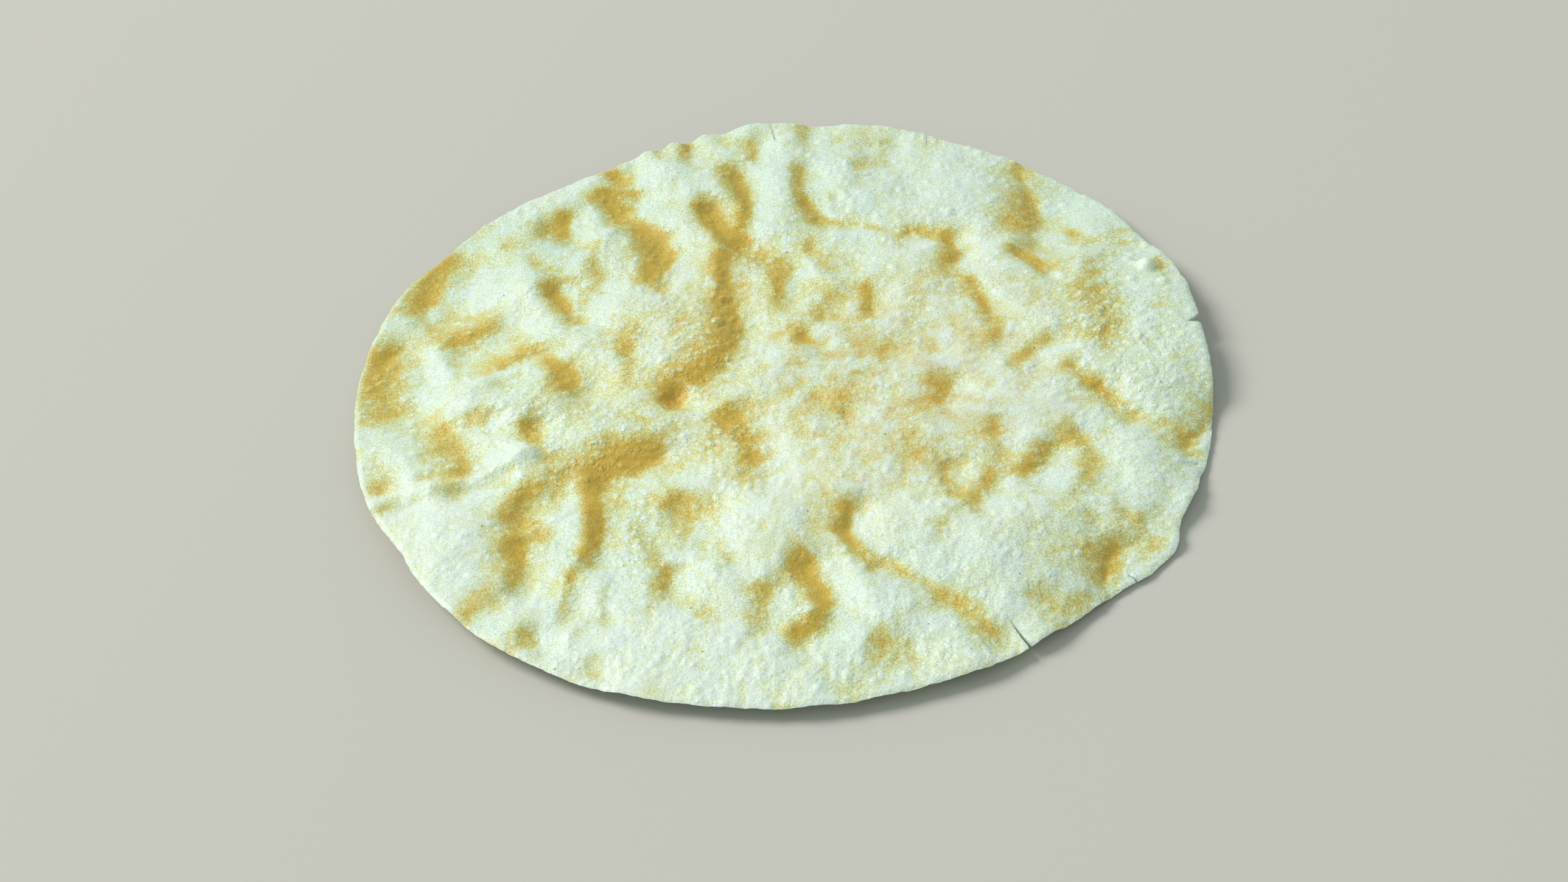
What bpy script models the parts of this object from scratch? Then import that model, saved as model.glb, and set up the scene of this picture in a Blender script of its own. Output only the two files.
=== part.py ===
"""A fried papadum: one thin, wavy round of lentil dough, lying on a level surface.

Frame: metres, +Z up. The origin is under the middle of the round, on the surface that it lies on.
+X points to the round's right and +Y to its far side. The tables below are in millimetres and
degrees, with angles counted from +X towards +Y.
"""

from dataclasses import dataclass

import bmesh
import bpy
import numpy as np
from mathutils import Vector, noise

MM = 0.001

# Driving sizes
RADIUS = 100.0
THICKNESS = 1.6
DOME = 3.4
GRID_CELLS = 50

# The lowest parts of the sheet lie flat at this level, under the rim's own mean level, and what
# would still stand out below them is pressed in by up to SETTLE
LOWEST = -3.4
SETTLE = 0.12

# Small unevenness between the folds: (wavelength, height) of each layer, and where it is drawn from
LUMP_LAYERS = ((26.0, 0.9), (13.0, 0.7), (8.0, 0.35))
LUMP_SEED = Vector((3.7, 11.3, 5.1))
RIM_ROUGHNESS = 0.25
RIM_ROUGHNESS_PITCH = 6.0
PATH_STEPS = 6

# How far the folds stray from their paths, and over what distance
WANDER = 2.2
WANDER_PITCH = 12.0

DOUGH_COLOUR = (0.74, 0.68, 0.42, 1.0)
DOUGH_ROUGHNESS = 0.55


@dataclass(frozen=True)
class Fold:
    """A valley (depth below zero) or a ridge along a path, walked with its steep side on the left."""

    name: str
    path: tuple
    height: float
    steep: float = 3.0
    gentle: float = 4.0


@dataclass(frozen=True)
class Mound:
    """A rounded swelling, or a dent where its height is below zero, longer along the turn angle."""

    x: float
    y: float
    height: float
    length: float
    width: float
    turn: float = 0.0


@dataclass(frozen=True)
class RimSwell:
    """A stretch of the rim that lies further out, or further in where reach is below zero."""

    angle: float
    reach: float
    spread: float


@dataclass(frozen=True)
class RimBend:
    """A stretch of the rim that lifts, or droops where lift is below zero, over a band of this depth."""

    angle: float
    lift: float
    spread: float
    band: float


RIM_SWELLS = (
    RimSwell(0.0, -1.7, 7.0),
    RimSwell(24.0, -1.6, 6.0),
    RimSwell(40.0, 0.9, 7.0),
    RimSwell(70.0, 1.7, 6.0),
    RimSwell(115.0, -4.3, 11.0),
    RimSwell(150.0, 2.9, 13.0),
    RimSwell(171.0, 0.9, 7.0),
    RimSwell(207.0, -1.4, 5.0),
    RimSwell(256.0, -0.6, 6.0),
    RimSwell(292.0, 0.8, 5.0),
    RimSwell(319.0, 2.6, 3.5),
    RimSwell(346.0, -0.6, 5.0),
)

# The crimped far rim, and the waved rim at the near right: crests that stand up and out
RIM_RIPPLES = (
    RimBend(91.5, 1.1, 1.9, 9.0),
    RimBend(98.0, 1.3, 1.5, 9.0),
    RimBend(103.0, 1.3, 1.3, 9.0),
    RimBend(107.0, 1.2, 1.3, 9.0),
    RimBend(111.5, 0.9, 1.5, 8.0),
    RimBend(315.0, 1.0, 1.6, 7.0),
    RimBend(321.5, 1.2, 1.8, 8.0),
    RimBend(329.0, 0.8, 2.0, 8.0),
)
RIPPLE_REACH = 0.8

RIM_BENDS = (
    RimBend(172.0, -1.0, 14.0, 40.0),
    RimBend(213.0, 1.0, 12.0, 20.0),
    RimBend(262.0, -1.2, 22.0, 22.0),
    RimBend(318.0, -2.4, 12.0, 13.0),
    RimBend(341.0, -2.2, 6.0, 12.0),
    RimBend(8.0, 2.3, 15.0, 30.0),
    RimBend(52.0, -2.9, 18.0, 26.0),
    RimBend(100.0, -1.2, 11.0, 14.0),
    RimBend(140.0, -1.0, 14.0, 18.0),
)

FAR_LEFT_FOLDS = (
    Fold("behind the rim, upper", ((-78, 36), (-77, 47), (-76, 58)), -3.0, 4.6, 5.0),
    Fold("behind the rim, lower", ((-86, 3), (-87, 14), (-89, 27)), -3.3, 4.6, 6.0),
    Fold("square hollow", ((-68, 23), (-67, 34)), -2.8, 5.0, 4.0),
    Fold("behind the long mound", ((-80, 9), (-70, 14), (-62, 18), (-52, 17)), -2.3, 3.4, 2.6),
    Fold("end of the long mound", ((-45, 2), (-45, 14)), -1.8, 4.0, 5.0),
    Fold("slanted pit", ((-49, 29), (-53, 44)), -2.4, 3.0, 4.0),
    Fold("slanted pit's neighbour", ((-42, 31), (-46, 47)), -1.3, 3.0, 3.5),
    Fold("upper dimple", ((-66, 51), (-67, 60)), -1.1, 3.0, 4.0),
    Fold("middle dimple", ((-51, 50), (-52, 55)), -1.0, 3.0, 3.0),
    Fold("broad dimple", ((-49, 59), (-49, 73)), -1.8, 4.5, 4.0),
    Fold("great S", ((-25, 39), (-22, 50), (-24, 58), (-29, 65), (-32, 73), (-31, 90)), -4.2, 4.5, 4.0),
    Fold("great S, ridge", ((-20, 42), (-16, 52), (-19, 62), (-24, 74), (-25, 88)), 1.1, 4.0, 6.0),
    Fold("left arm of the V", ((-5, 52), (-9, 61), (-14, 71)), -3.0, 3.4, 3.0),
    Fold("right arm of the V", ((-3, 58), (-1, 67), (-2, 76), (-4, 85)), -2.6, 3.0, 3.0),
    Fold("long valley", ((-14, -2), (-11, 6), (-6, 14), (-6, 25), (-7, 36), (-7, 49)), -3.4, 4.5, 5.0),
)

FAR_RIGHT_FOLDS = (
    Fold("short valley", ((4, 23), (5, 35), (6, 47)), -1.9, 3.0, 4.0),
    Fold("its neighbour", ((14, 39), (15, 46)), -1.4, 3.0, 3.5),
    Fold("far spine", ((3, 56), (4, 70), (6, 84), (7, 98)), 1.5, 4.0, 5.5),
    Fold("hook", ((20, 53), (15, 58), (12.5, 65), (11.5, 76)), -1.8, 3.0, 3.5),
    Fold("ledge", ((18, 54), (27, 51), (36, 48), (44, 43)), -1.3, 2.4, 2.4),
    Fold("ledge's end", ((47, 35), (48, 42)), -2.3, 3.5, 3.0),
    Fold("ledge's tail", ((48, 38), (56, 42), (63, 45)), -0.8, 2.4, 2.4),
    Fold("tall hollow", ((65, 43), (69, 56), (73, 67)), -2.4, 6.0, 4.0),
    Fold("slanted valley", ((70, 26), (67, 34), (62, 41)), -2.0, 2.8, 3.5),
    Fold("rim valley", ((88, 34), (80, 38), (75, 45)), -1.5, 2.6, 3.0),
    Fold("inner groove", ((53, 12), (51, 20), (50, 29)), -1.5, 3.0, 4.0),
    Fold("inner groove, left", ((25, 16), (26, 30)), -1.5, 3.0, 4.0),
    Fold("shallow groove", ((13, 14), (14, 23)), -1.0, 3.0, 3.0),
    Fold("far right groove", ((37, 68), (36, 80)), -0.8, 4.0, 4.0),
)

NEAR_LEFT_FOLDS = (
    Fold("rim ridge", ((-88, -24), (-89, -12), (-89, 0)), 1.4, 4.0, 3.5),
    Fold("inside the rim ridge", ((-77, -25), (-76, -14), (-80, -3)), -2.4, 3.4, 4.0),
    Fold("straight crease", ((-94, -29), (-86, -28), (-78, -25), (-70, -22), (-59, -19)), -1.7, 2.6, 2.0),
    Fold("crest over the T", ((-60, -19), (-50, -15), (-40, -14), (-31, -17)), 1.8, 3.2, 3.4),
    Fold("T, cross bar", ((-44, -30), (-36, -27), (-27, -24)), -3.8, 3.8, 4.4),
    Fold("T, stem", ((-42.5, -54), (-42, -42), (-42, -31)), -3.6, 2.8, 3.6),
    Fold("left patch", ((-57, -39), (-56, -27)), -2.0, 5.0, 4.0),
    Fold("left bow", ((-68, -67), (-59, -59), (-60, -44)), -2.4, 4.0, 4.0),
    Fold("stem's echo", ((-48, -70), (-49, -56)), -1.6, 2.6, 3.0),
    Fold("small patch", ((-22, -42), (-23, -34)), -1.8, 4.0, 3.0),
    Fold("thin slant", ((-26, -63), (-30, -52), (-35, -40)), -1.6, 2.6, 3.5),
    Fold("thin groove", ((-15, -59), (-16, -45)), -1.3, 3.0, 3.0),
    Fold("middle bow", ((-4, -35), (-4, -25), (-8, -15), (-16, -9)), -3.2, 4.2, 4.2),
    Fold("broad ridge", ((-26, -29), (-15, -37), (-7, -44)), 1.5, 6.0, 6.0),
    Fold("near bow", ((0, -83), (5, -76), (7, -69), (4, -61), (3.5, -54)), -2.8, 3.4, 4.0),
    Fold("near patch", ((-6, -74), (-6, -65)), -1.5, 4.0, 3.0),
)

NEAR_RIGHT_FOLDS = (
    Fold(
        "long slant",
        ((41, -87), (35, -78), (25, -69.5), (17, -61), (13, -53), (12.5, -45)),
        -2.8,
        3.2,
        4.0,
    ),
    Fold("right groove", ((67, -48), (67, -29)), -1.7, 3.0, 4.0),
    Fold("pair, right", ((53, -43), (59, -34)), -1.6, 2.8, 3.2),
    Fold("pair, left", ((41, -50), (46, -40)), -1.4, 2.8, 3.2),
    Fold("upper groove", ((49, -34), (49, -24)), -1.4, 2.8, 3.0),
    Fold("slant to the rim", ((91, -37), (86, -29), (79, -23), (75, -17), (71, -10), (69, -4)), -2.6, 3.4, 4.6),
    Fold("near rim patch", ((67, -75), (68, -66)), -1.6, 3.5, 3.0),
    Fold("near rim groove", ((60, -82), (60, -76)), -1.2, 3.0, 3.0),
    Fold("near dent", ((70, -56), (71, -50)), -1.1, 2.6, 3.0),
)

MOUNDS = (
    Mound(-62, 4, 2.2, 13.0, 6.0, 18.0),
    Mound(-60, 42, 1.2, 5.0, 4.0, 90.0),
    Mound(-40, 51, 1.7, 7.0, 5.0, 80.0),
    Mound(-62, 62, 1.0, 5.0, 5.0),
    Mound(-10, 72, 1.2, 5.0, 3.2, 100.0),
    Mound(-24, 25, 1.4, 12.0, 8.0, 80.0),
    Mound(-27, -4, -2.0, 4.0, 3.0, 120.0),
    Mound(12, 31, 1.2, 7.0, 5.0, 60.0),
    Mound(34, 31, 1.4, 9.0, 7.0, 60.0),
    Mound(54, 33, 1.5, 8.0, 6.0, 110.0),
    Mound(73, 20, 2.0, 12.0, 9.0, 100.0),
    Mound(50, 66, 1.2, 16.0, 10.0, 120.0),
    Mound(22, 74, 1.0, 10.0, 7.0, 90.0),
    Mound(-75, -40, 1.8, 9.0, 7.0, 60.0),
    Mound(-70, -5, -1.2, 3.0, 3.0),
    Mound(-58, -10, -1.2, 3.5, 2.5),
    Mound(-90, -25, -1.0, 3.5, 3.0),
    Mound(-56, -74, -1.0, 4.0, 3.0),
    Mound(-36, -34, 1.2, 6.0, 5.0),
    Mound(-12, -56, 1.0, 8.0, 6.0),
    Mound(41, -64, 2.0, 13.0, 9.0, 140.0),
    Mound(18, -30, 0.9, 14.0, 10.0, 30.0),
    Mound(36, -38, -1.0, 3.5, 3.0),
    Mound(39, -10, -1.0, 3.5, 3.5),
    Mound(59, -1, -1.0, 3.5, 3.0, 40.0),
    Mound(26, 0, -0.9, 3.0, 3.0),
    Mound(20, -88, -0.8, 5.0, 5.0),
    Mound(84, -8, 1.0, 12.0, 7.0, 90.0),
)


@dataclass(frozen=True)
class Crack:
    """A split that opens at the rim (mouth) and closes at its tip."""

    name: str
    mouth: tuple
    tip: tuple
    gap: float


CRACKS = (
    Crack("far_crack", (3.8, 101.5), (5.2, 90.0), 1.1),
    Crack("far_right_crack", (44.6, 92.0), (43.6, 85.0), 0.9),
    Crack("right_notch", (99.5, 6.2), (96.4, 5.6), 4.6),
    Crack("near_crack", (45.4, -90.5), (41.5, -82.0), 0.8),
    Crack("near_right_crack", (71.5, -75.0), (67.8, -70.0), 0.9),
)
CRACK_OVERSHOOT = 4.0
CUTTER_HEIGHT = 40.0

# An equilateral triangle round a circle of radius 1
TRIANGLE_SIDE = 3**0.5
TRIANGLE_DEPTH = 1.5


def clear_scene():
    for obj in list(bpy.data.objects):
        bpy.data.objects.remove(obj)


def new_collection(name):
    collection = bpy.data.collections.new(name)
    bpy.context.scene.collection.children.link(collection)
    return collection


def dough_material():
    material = bpy.data.materials.new("fried_dough")
    material.use_nodes = True
    shader = material.node_tree.nodes["Principled BSDF"]
    shader.inputs["Base Color"].default_value = DOUGH_COLOUR
    shader.inputs["Roughness"].default_value = DOUGH_ROUGHNESS
    shader.inputs["Metallic"].default_value = 0.0
    return material


def bell(distance, spread):
    return np.exp(-0.5 * (distance / spread) ** 2)


def angle_gap(angles, centre):
    """Degrees from centre, between -180 and 180."""
    return (angles - centre + 180.0) % 360.0 - 180.0


def noise_layer(x, y, wavelength):
    """Smooth noise between about -1 and 1, with the same values on every run."""
    places = (LUMP_SEED + Vector((float(a), float(b), 0.0)) / wavelength for a, b in zip(x, y))
    return np.array([noise.noise(place) for place in places])


def smooth_path(points):
    """The path as a Catmull-Rom curve through its points, sampled PATH_STEPS times a span."""
    knots = np.array(points, float)
    ends = (2 * knots[0] - knots[1], 2 * knots[-1] - knots[-2])
    knots = np.vstack((ends[0], knots, ends[1]))
    t = (np.arange(PATH_STEPS) / PATH_STEPS)[:, None]
    samples = []
    for before, start, end, after in zip(knots, knots[1:], knots[2:], knots[3:]):
        samples.append(
            start
            + 0.5 * t * (end - before)
            + t**2 * (before - 2.5 * start + 2 * end - 0.5 * after)
            + t**3 * (1.5 * (start - end) + 0.5 * (after - before))
        )
    return np.vstack((*samples, knots[-2]))


def fold_height(x, y, fold):
    """The fold's height at each point: a bell across the path, narrower on its steep side."""
    points = np.stack((x, y), 1)
    route = smooth_path(fold.path)
    nearest = np.full(len(points), np.inf)
    side = np.zeros(len(points))
    for start, end in zip(route, route[1:]):
        along = end - start
        reach = np.clip((points - start) @ along / (along @ along), 0, 1)
        offset = points - start - reach[:, None] * along
        distance = np.hypot(offset[:, 0], offset[:, 1])
        closer = distance < nearest
        nearest = np.where(closer, distance, nearest)
        across = along[0] * offset[:, 1] - along[1] * offset[:, 0]
        left = across / np.hypot(*along) / np.maximum(distance, 1e-6)
        side = np.where(closer, left, side)
    mix = 0.5 + 0.5 * side
    return fold.height * bell(nearest, fold.gentle + mix * (fold.steep - fold.gentle))


def mound_height(x, y, mound):
    turn = np.radians(mound.turn)
    along = (x - mound.x) * np.cos(turn) + (y - mound.y) * np.sin(turn)
    across = (y - mound.y) * np.cos(turn) - (x - mound.x) * np.sin(turn)
    return mound.height * bell(along, mound.length) * bell(across, mound.width)


def rim_radius(angles):
    """The outline: a circle with its swells, its ripples' crests and a little roughness."""
    radius = np.full(len(angles), RADIUS)
    for swell in RIM_SWELLS:
        radius += swell.reach * bell(angle_gap(angles, swell.angle), swell.spread)
    for ripple in RIM_RIPPLES:
        radius += RIPPLE_REACH * ripple.lift * bell(angle_gap(angles, ripple.angle), ripple.spread)
    turn = np.radians(angles)
    rough = noise_layer(RADIUS * np.cos(turn), RADIUS * np.sin(turn), RIM_ROUGHNESS_PITCH)
    return radius + RIM_ROUGHNESS * rough


def rim_height(x, y, bends):
    """How far the rim's bends lift or lower each point."""
    angles = np.degrees(np.arctan2(y, x))
    inward = np.maximum(RADIUS - np.hypot(x, y), 0)
    total = np.zeros(len(x))
    for bend in bends:
        total += bend.lift * bell(angle_gap(angles, bend.angle), bend.spread) * bell(inward, bend.band / 2)
    return total


def sheet_height(x, y):
    """The height of the sheet's upper face over any level, in millimetres."""
    height = DOME * (1 - (x**2 + y**2) / RADIUS**2)
    height += rim_height(x, y, RIM_BENDS)
    height += rim_height(x, y, RIM_RIPPLES)
    stray_x = x + WANDER * noise_layer(x, y, WANDER_PITCH)
    stray_y = y + WANDER * noise_layer(y, x, WANDER_PITCH)
    for fold in (*FAR_LEFT_FOLDS, *FAR_RIGHT_FOLDS, *NEAR_LEFT_FOLDS, *NEAR_RIGHT_FOLDS):
        height += fold_height(stray_x, stray_y, fold)
    for mound in MOUNDS:
        height += mound_height(stray_x, stray_y, mound)
    for wavelength, size in LUMP_LAYERS:
        height += size * noise_layer(x, y, wavelength)
    return np.maximum(height, LOWEST)


def square_to_round(u, v):
    """Moves the points of a square grid of half side 1 to rings round the middle, evenly spaced."""
    radius = np.maximum(np.abs(u), np.abs(v))
    flat = np.abs(u) >= np.abs(v)
    quarter = np.pi / 4
    with np.errstate(divide="ignore", invalid="ignore"):
        turn = np.where(flat, quarter * v / u, 2 * quarter - quarter * u / v)
    turn = np.where(radius > 0, turn, 0)
    facing = np.where(flat, np.sign(u), np.sign(v))
    return facing * radius * np.cos(turn), facing * radius * np.sin(turn)


def sheet_mesh():
    """The upper face as an open mesh of triangles, in metres."""
    bm = bmesh.new()
    bmesh.ops.create_grid(bm, x_segments=GRID_CELLS, y_segments=GRID_CELLS, size=1.0)
    grid = np.array([vert.co for vert in bm.verts])
    x, y = square_to_round(grid[:, 0], grid[:, 1])
    distance = np.hypot(x, y)
    outline = rim_radius(np.degrees(np.arctan2(y, x)))
    scale = RADIUS + (outline - RADIUS) * distance**4
    x, y = x * scale, y * scale
    places = np.stack((x, y, sheet_height(x, y)), 1) * MM
    for vert, place in zip(bm.verts, places):
        vert.co = place
    bmesh.ops.triangulate(bm, faces=bm.faces[:], quad_method="SHORT_EDGE")
    mesh = bpy.data.meshes.new("papadum")
    bm.to_mesh(mesh)
    bm.free()
    return mesh


def thickened(mesh, collection):
    """The sheet as a closed solid, THICKNESS deep below its upper face."""
    sheet = bpy.data.objects.new("papadum", mesh)
    collection.objects.link(sheet)
    wall = sheet.modifiers.new("dough", "SOLIDIFY")
    wall.thickness = THICKNESS * MM
    wall.offset = -1.0
    bpy.context.view_layer.update()
    solid = bpy.data.meshes.new_from_object(sheet.evaluated_get(bpy.context.evaluated_depsgraph_get()))
    sheet.modifiers.clear()
    sheet.data = solid
    return sheet


def settle(mesh):
    """Centres the solid over the origin, on the level z = 0, with what would lie lower pressed flat.

    It returns the move that was made.
    """
    places = np.array([vert.co for vert in mesh.vertices])
    low, high = places.min(0), places.max(0)
    middle = (low + high) / 2
    move = Vector((-middle[0], -middle[1], -low[2] - SETTLE * MM))
    for vert in mesh.vertices:
        vert.co += move
        vert.co.z = max(vert.co.z, 0.0)
    return move


def crack_cutter(crack, move, collection):
    """A three-sided prism: its edge stands at the crack's tip and its open side past the rim."""
    tip = Vector(crack.tip)
    inward = tip - Vector(crack.mouth)
    length = inward.length + CRACK_OVERSHOOT
    width = crack.gap * length / inward.length
    bm = bmesh.new()
    bmesh.ops.create_cone(
        bm,
        cap_ends=True,
        segments=3,
        radius1=MM,
        radius2=MM,
        depth=CUTTER_HEIGHT * MM,
    )
    tip_y = max(vert.co.y for vert in bm.verts)
    stretch = Vector((width / TRIANGLE_SIDE, length / TRIANGLE_DEPTH, 1.0))
    for vert in bm.verts:
        vert.co.y -= tip_y
        vert.co *= stretch
    mesh = bpy.data.meshes.new(crack.name)
    bm.to_mesh(mesh)
    bm.free()
    cutter = bpy.data.objects.new(crack.name, mesh)
    cutter.location = tip.to_3d() * MM + move
    cutter.rotation_euler.z = np.arctan2(-inward.x, inward.y)
    cutter.hide_render = True
    cutter.display_type = "WIRE"
    collection.objects.link(cutter)
    return cutter


def main():
    clear_scene()
    parts = new_collection("papadum")
    cutters = new_collection("cutters")
    papadum = thickened(sheet_mesh(), parts)
    move = settle(papadum.data)
    papadum.data.materials.append(dough_material())
    papadum.data.shade_smooth()
    for crack in CRACKS:
        cut = papadum.modifiers.new(crack.name, "BOOLEAN")
        cut.object = crack_cutter(crack, move, cutters)
        cut.operation = "DIFFERENCE"


main()
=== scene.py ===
"""Looks of a fried papadum: one crisp, blistered round of lentil dough on a pale floor.

Frame: metres, +Z up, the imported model's own. The tables are in millimetres and degrees, with angles
counted from +X towards +Y, and SHIFT moves their places into the frame.
"""

import logging
import math
from dataclasses import dataclass, field
from enum import Enum

import bpy
import numpy as np
from mathutils import Euler, Matrix, Vector, kdtree, noise


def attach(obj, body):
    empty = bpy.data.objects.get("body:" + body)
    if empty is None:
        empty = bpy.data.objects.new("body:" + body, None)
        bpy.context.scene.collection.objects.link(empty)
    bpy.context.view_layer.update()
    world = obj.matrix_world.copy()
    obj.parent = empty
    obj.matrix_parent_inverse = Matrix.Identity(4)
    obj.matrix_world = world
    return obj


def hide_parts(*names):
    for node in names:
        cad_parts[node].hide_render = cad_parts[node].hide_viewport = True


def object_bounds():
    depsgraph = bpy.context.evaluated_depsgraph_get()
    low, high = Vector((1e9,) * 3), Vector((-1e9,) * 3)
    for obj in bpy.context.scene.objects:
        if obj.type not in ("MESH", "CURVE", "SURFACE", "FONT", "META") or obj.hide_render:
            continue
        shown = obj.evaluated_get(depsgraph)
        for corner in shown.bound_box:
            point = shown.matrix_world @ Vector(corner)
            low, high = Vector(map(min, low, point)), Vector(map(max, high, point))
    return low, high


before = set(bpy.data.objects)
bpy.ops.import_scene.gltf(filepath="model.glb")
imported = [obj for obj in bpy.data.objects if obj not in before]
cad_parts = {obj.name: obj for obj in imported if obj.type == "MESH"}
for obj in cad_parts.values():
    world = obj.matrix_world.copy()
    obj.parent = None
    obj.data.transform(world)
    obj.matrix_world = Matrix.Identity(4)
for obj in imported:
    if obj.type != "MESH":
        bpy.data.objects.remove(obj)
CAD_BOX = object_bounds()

log = logging.getLogger("papadum")

MM = 0.001

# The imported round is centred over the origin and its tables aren't, so each place moves by this
SHIFT = Vector((1.279, -0.217, 4.88))

# Where the gradient noise is drawn from, so that it is the same on every run
NOISE_SEED = Vector((3.7, 11.3, 5.1))
SCATTER_SEED = 1907

# Types of the material's nodes that come up most
MATH = "ShaderNodeMath"
MIX = "ShaderNodeMix"

# The side and the height of a three-sided primitive whose corners lie 1 from its middle
TRIANGLE_SIDE = math.sqrt(3)
TRIANGLE_DEPTH = 1.5

# A line through these places, in millimetres
Path = tuple[tuple[float, float], ...]


class Side(Enum):
    """The two faces of the round."""

    TOP = "top"
    UNDERSIDE = "underside"


class Pattern(Enum):
    """Patterns of noise that don't follow each other, by how far up they are read."""

    FORM = 0.0
    CRUMB = 2.0
    FLECKS = 4.0
    FINE_FLECKS = 5.0
    CROWDING = 6.0
    FRAY_X = 7.0
    FRAY_Y = 8.0


class Mark(Enum):
    """What the mesh tells the material about the dough at each point."""

    # Clear, toast and whiteness also carry painted shade and painted light
    CLEAR = "clear"
    TOAST_AND_SHADE = "toast"
    BUBBLY = "bubbly"
    WHITE = "white_and_light"


@dataclass(frozen=True)
class Wall:
    """The wall of a fold along a path, this wide, and how steep and amber it is, up to 1; its amber is
    partly clear dough and partly painted shade.
    """

    path: Path
    width: float
    strength: float


@dataclass(frozen=True)
class Ridge:
    """A crest along a path."""

    path: Path
    height: float
    spread: float


@dataclass(frozen=True)
class Mound:
    """A rounded swelling, or a dent where its height is below zero, longer along the turn angle."""

    x: float
    y: float
    height: float
    length: float
    width: float
    turn: float = 0.0


@dataclass(frozen=True)
class RimSwell:
    """A stretch of the rim that lies further out, or further in where reach is below zero."""

    angle: float
    reach: float
    spread: float


@dataclass(frozen=True)
class RimBend:
    """A stretch of the rim that lifts, or droops where lift is below zero, over a band this deep."""

    angle: float
    lift: float
    spread: float
    band: float


@dataclass(frozen=True)
class Crack:
    """A split that opens at the rim (mouth) and closes at its tip."""

    name: str
    mouth: tuple[float, float]
    tip: tuple[float, float]
    gap: float


@dataclass(frozen=True)
class Blister:
    """One round bubble in the dough, a low dome."""

    x: float
    y: float
    radius: float
    rise: float = 0.5


@dataclass(frozen=True)
class BlisterPatch:
    """Bubbles scattered round a middle, thinning out over its spread along each axis."""

    x: float
    y: float
    spread_x: float
    spread_y: float
    count: int
    smallest: float
    largest: float


@dataclass(frozen=True)
class ToastAndShadePatch:
    """A place that browned more in the oil; the two in the T-shaped pit near (-40, -28) are painted shade
    instead.
    """

    x: float
    y: float
    spread_x: float
    spread_y: float
    strength: float


@dataclass(frozen=True)
class FrothAndLightPatch:
    """A broad place with its own froth and light: how much clearer, and how much whiter, than elsewhere;
    partly uneven froth, partly painted light and shade.
    """

    x: float
    y: float
    spread_x: float
    spread_y: float
    clear: float
    white_and_light: float


RIM_SWELLS = (
    RimSwell(0.0, -1.7, 7.0),
    RimSwell(24.0, -1.6, 6.0),
    RimSwell(40.0, 0.9, 7.0),
    RimSwell(70.0, 1.7, 6.0),
    RimSwell(115.0, -4.3, 11.0),
    RimSwell(150.0, 2.9, 13.0),
    RimSwell(171.0, 0.9, 7.0),
    RimSwell(207.0, -1.4, 5.0),
    RimSwell(256.0, -0.6, 6.0),
    RimSwell(292.0, 0.8, 5.0),
    RimSwell(319.0, 2.6, 3.5),
    RimSwell(346.0, -0.6, 5.0),
)

# The crimped far rim, and the waved rim at the near right: crests that stand up and out
RIM_RIPPLES = (
    RimBend(91.5, 1.1, 1.9, 9.0),
    RimBend(98.0, 1.3, 1.5, 9.0),
    RimBend(103.0, 1.3, 1.3, 9.0),
    RimBend(107.0, 1.2, 1.3, 9.0),
    RimBend(111.5, 0.9, 1.5, 8.0),
    RimBend(315.0, 1.0, 1.6, 7.0),
    RimBend(321.5, 1.2, 1.8, 8.0),
    RimBend(329.0, 0.8, 2.0, 8.0),
)

RIM_BENDS = (
    RimBend(172.0, -1.0, 14.0, 40.0),
    RimBend(213.0, 1.0, 12.0, 20.0),
    RimBend(262.0, -1.2, 22.0, 22.0),
    RimBend(318.0, -2.4, 12.0, 13.0),
    RimBend(341.0, -2.2, 6.0, 12.0),
    RimBend(8.0, 2.3, 15.0, 30.0),
    RimBend(52.0, -2.9, 18.0, 26.0),
    RimBend(100.0, -1.2, 11.0, 14.0),
    RimBend(140.0, -1.0, 14.0, 18.0),
)
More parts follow.
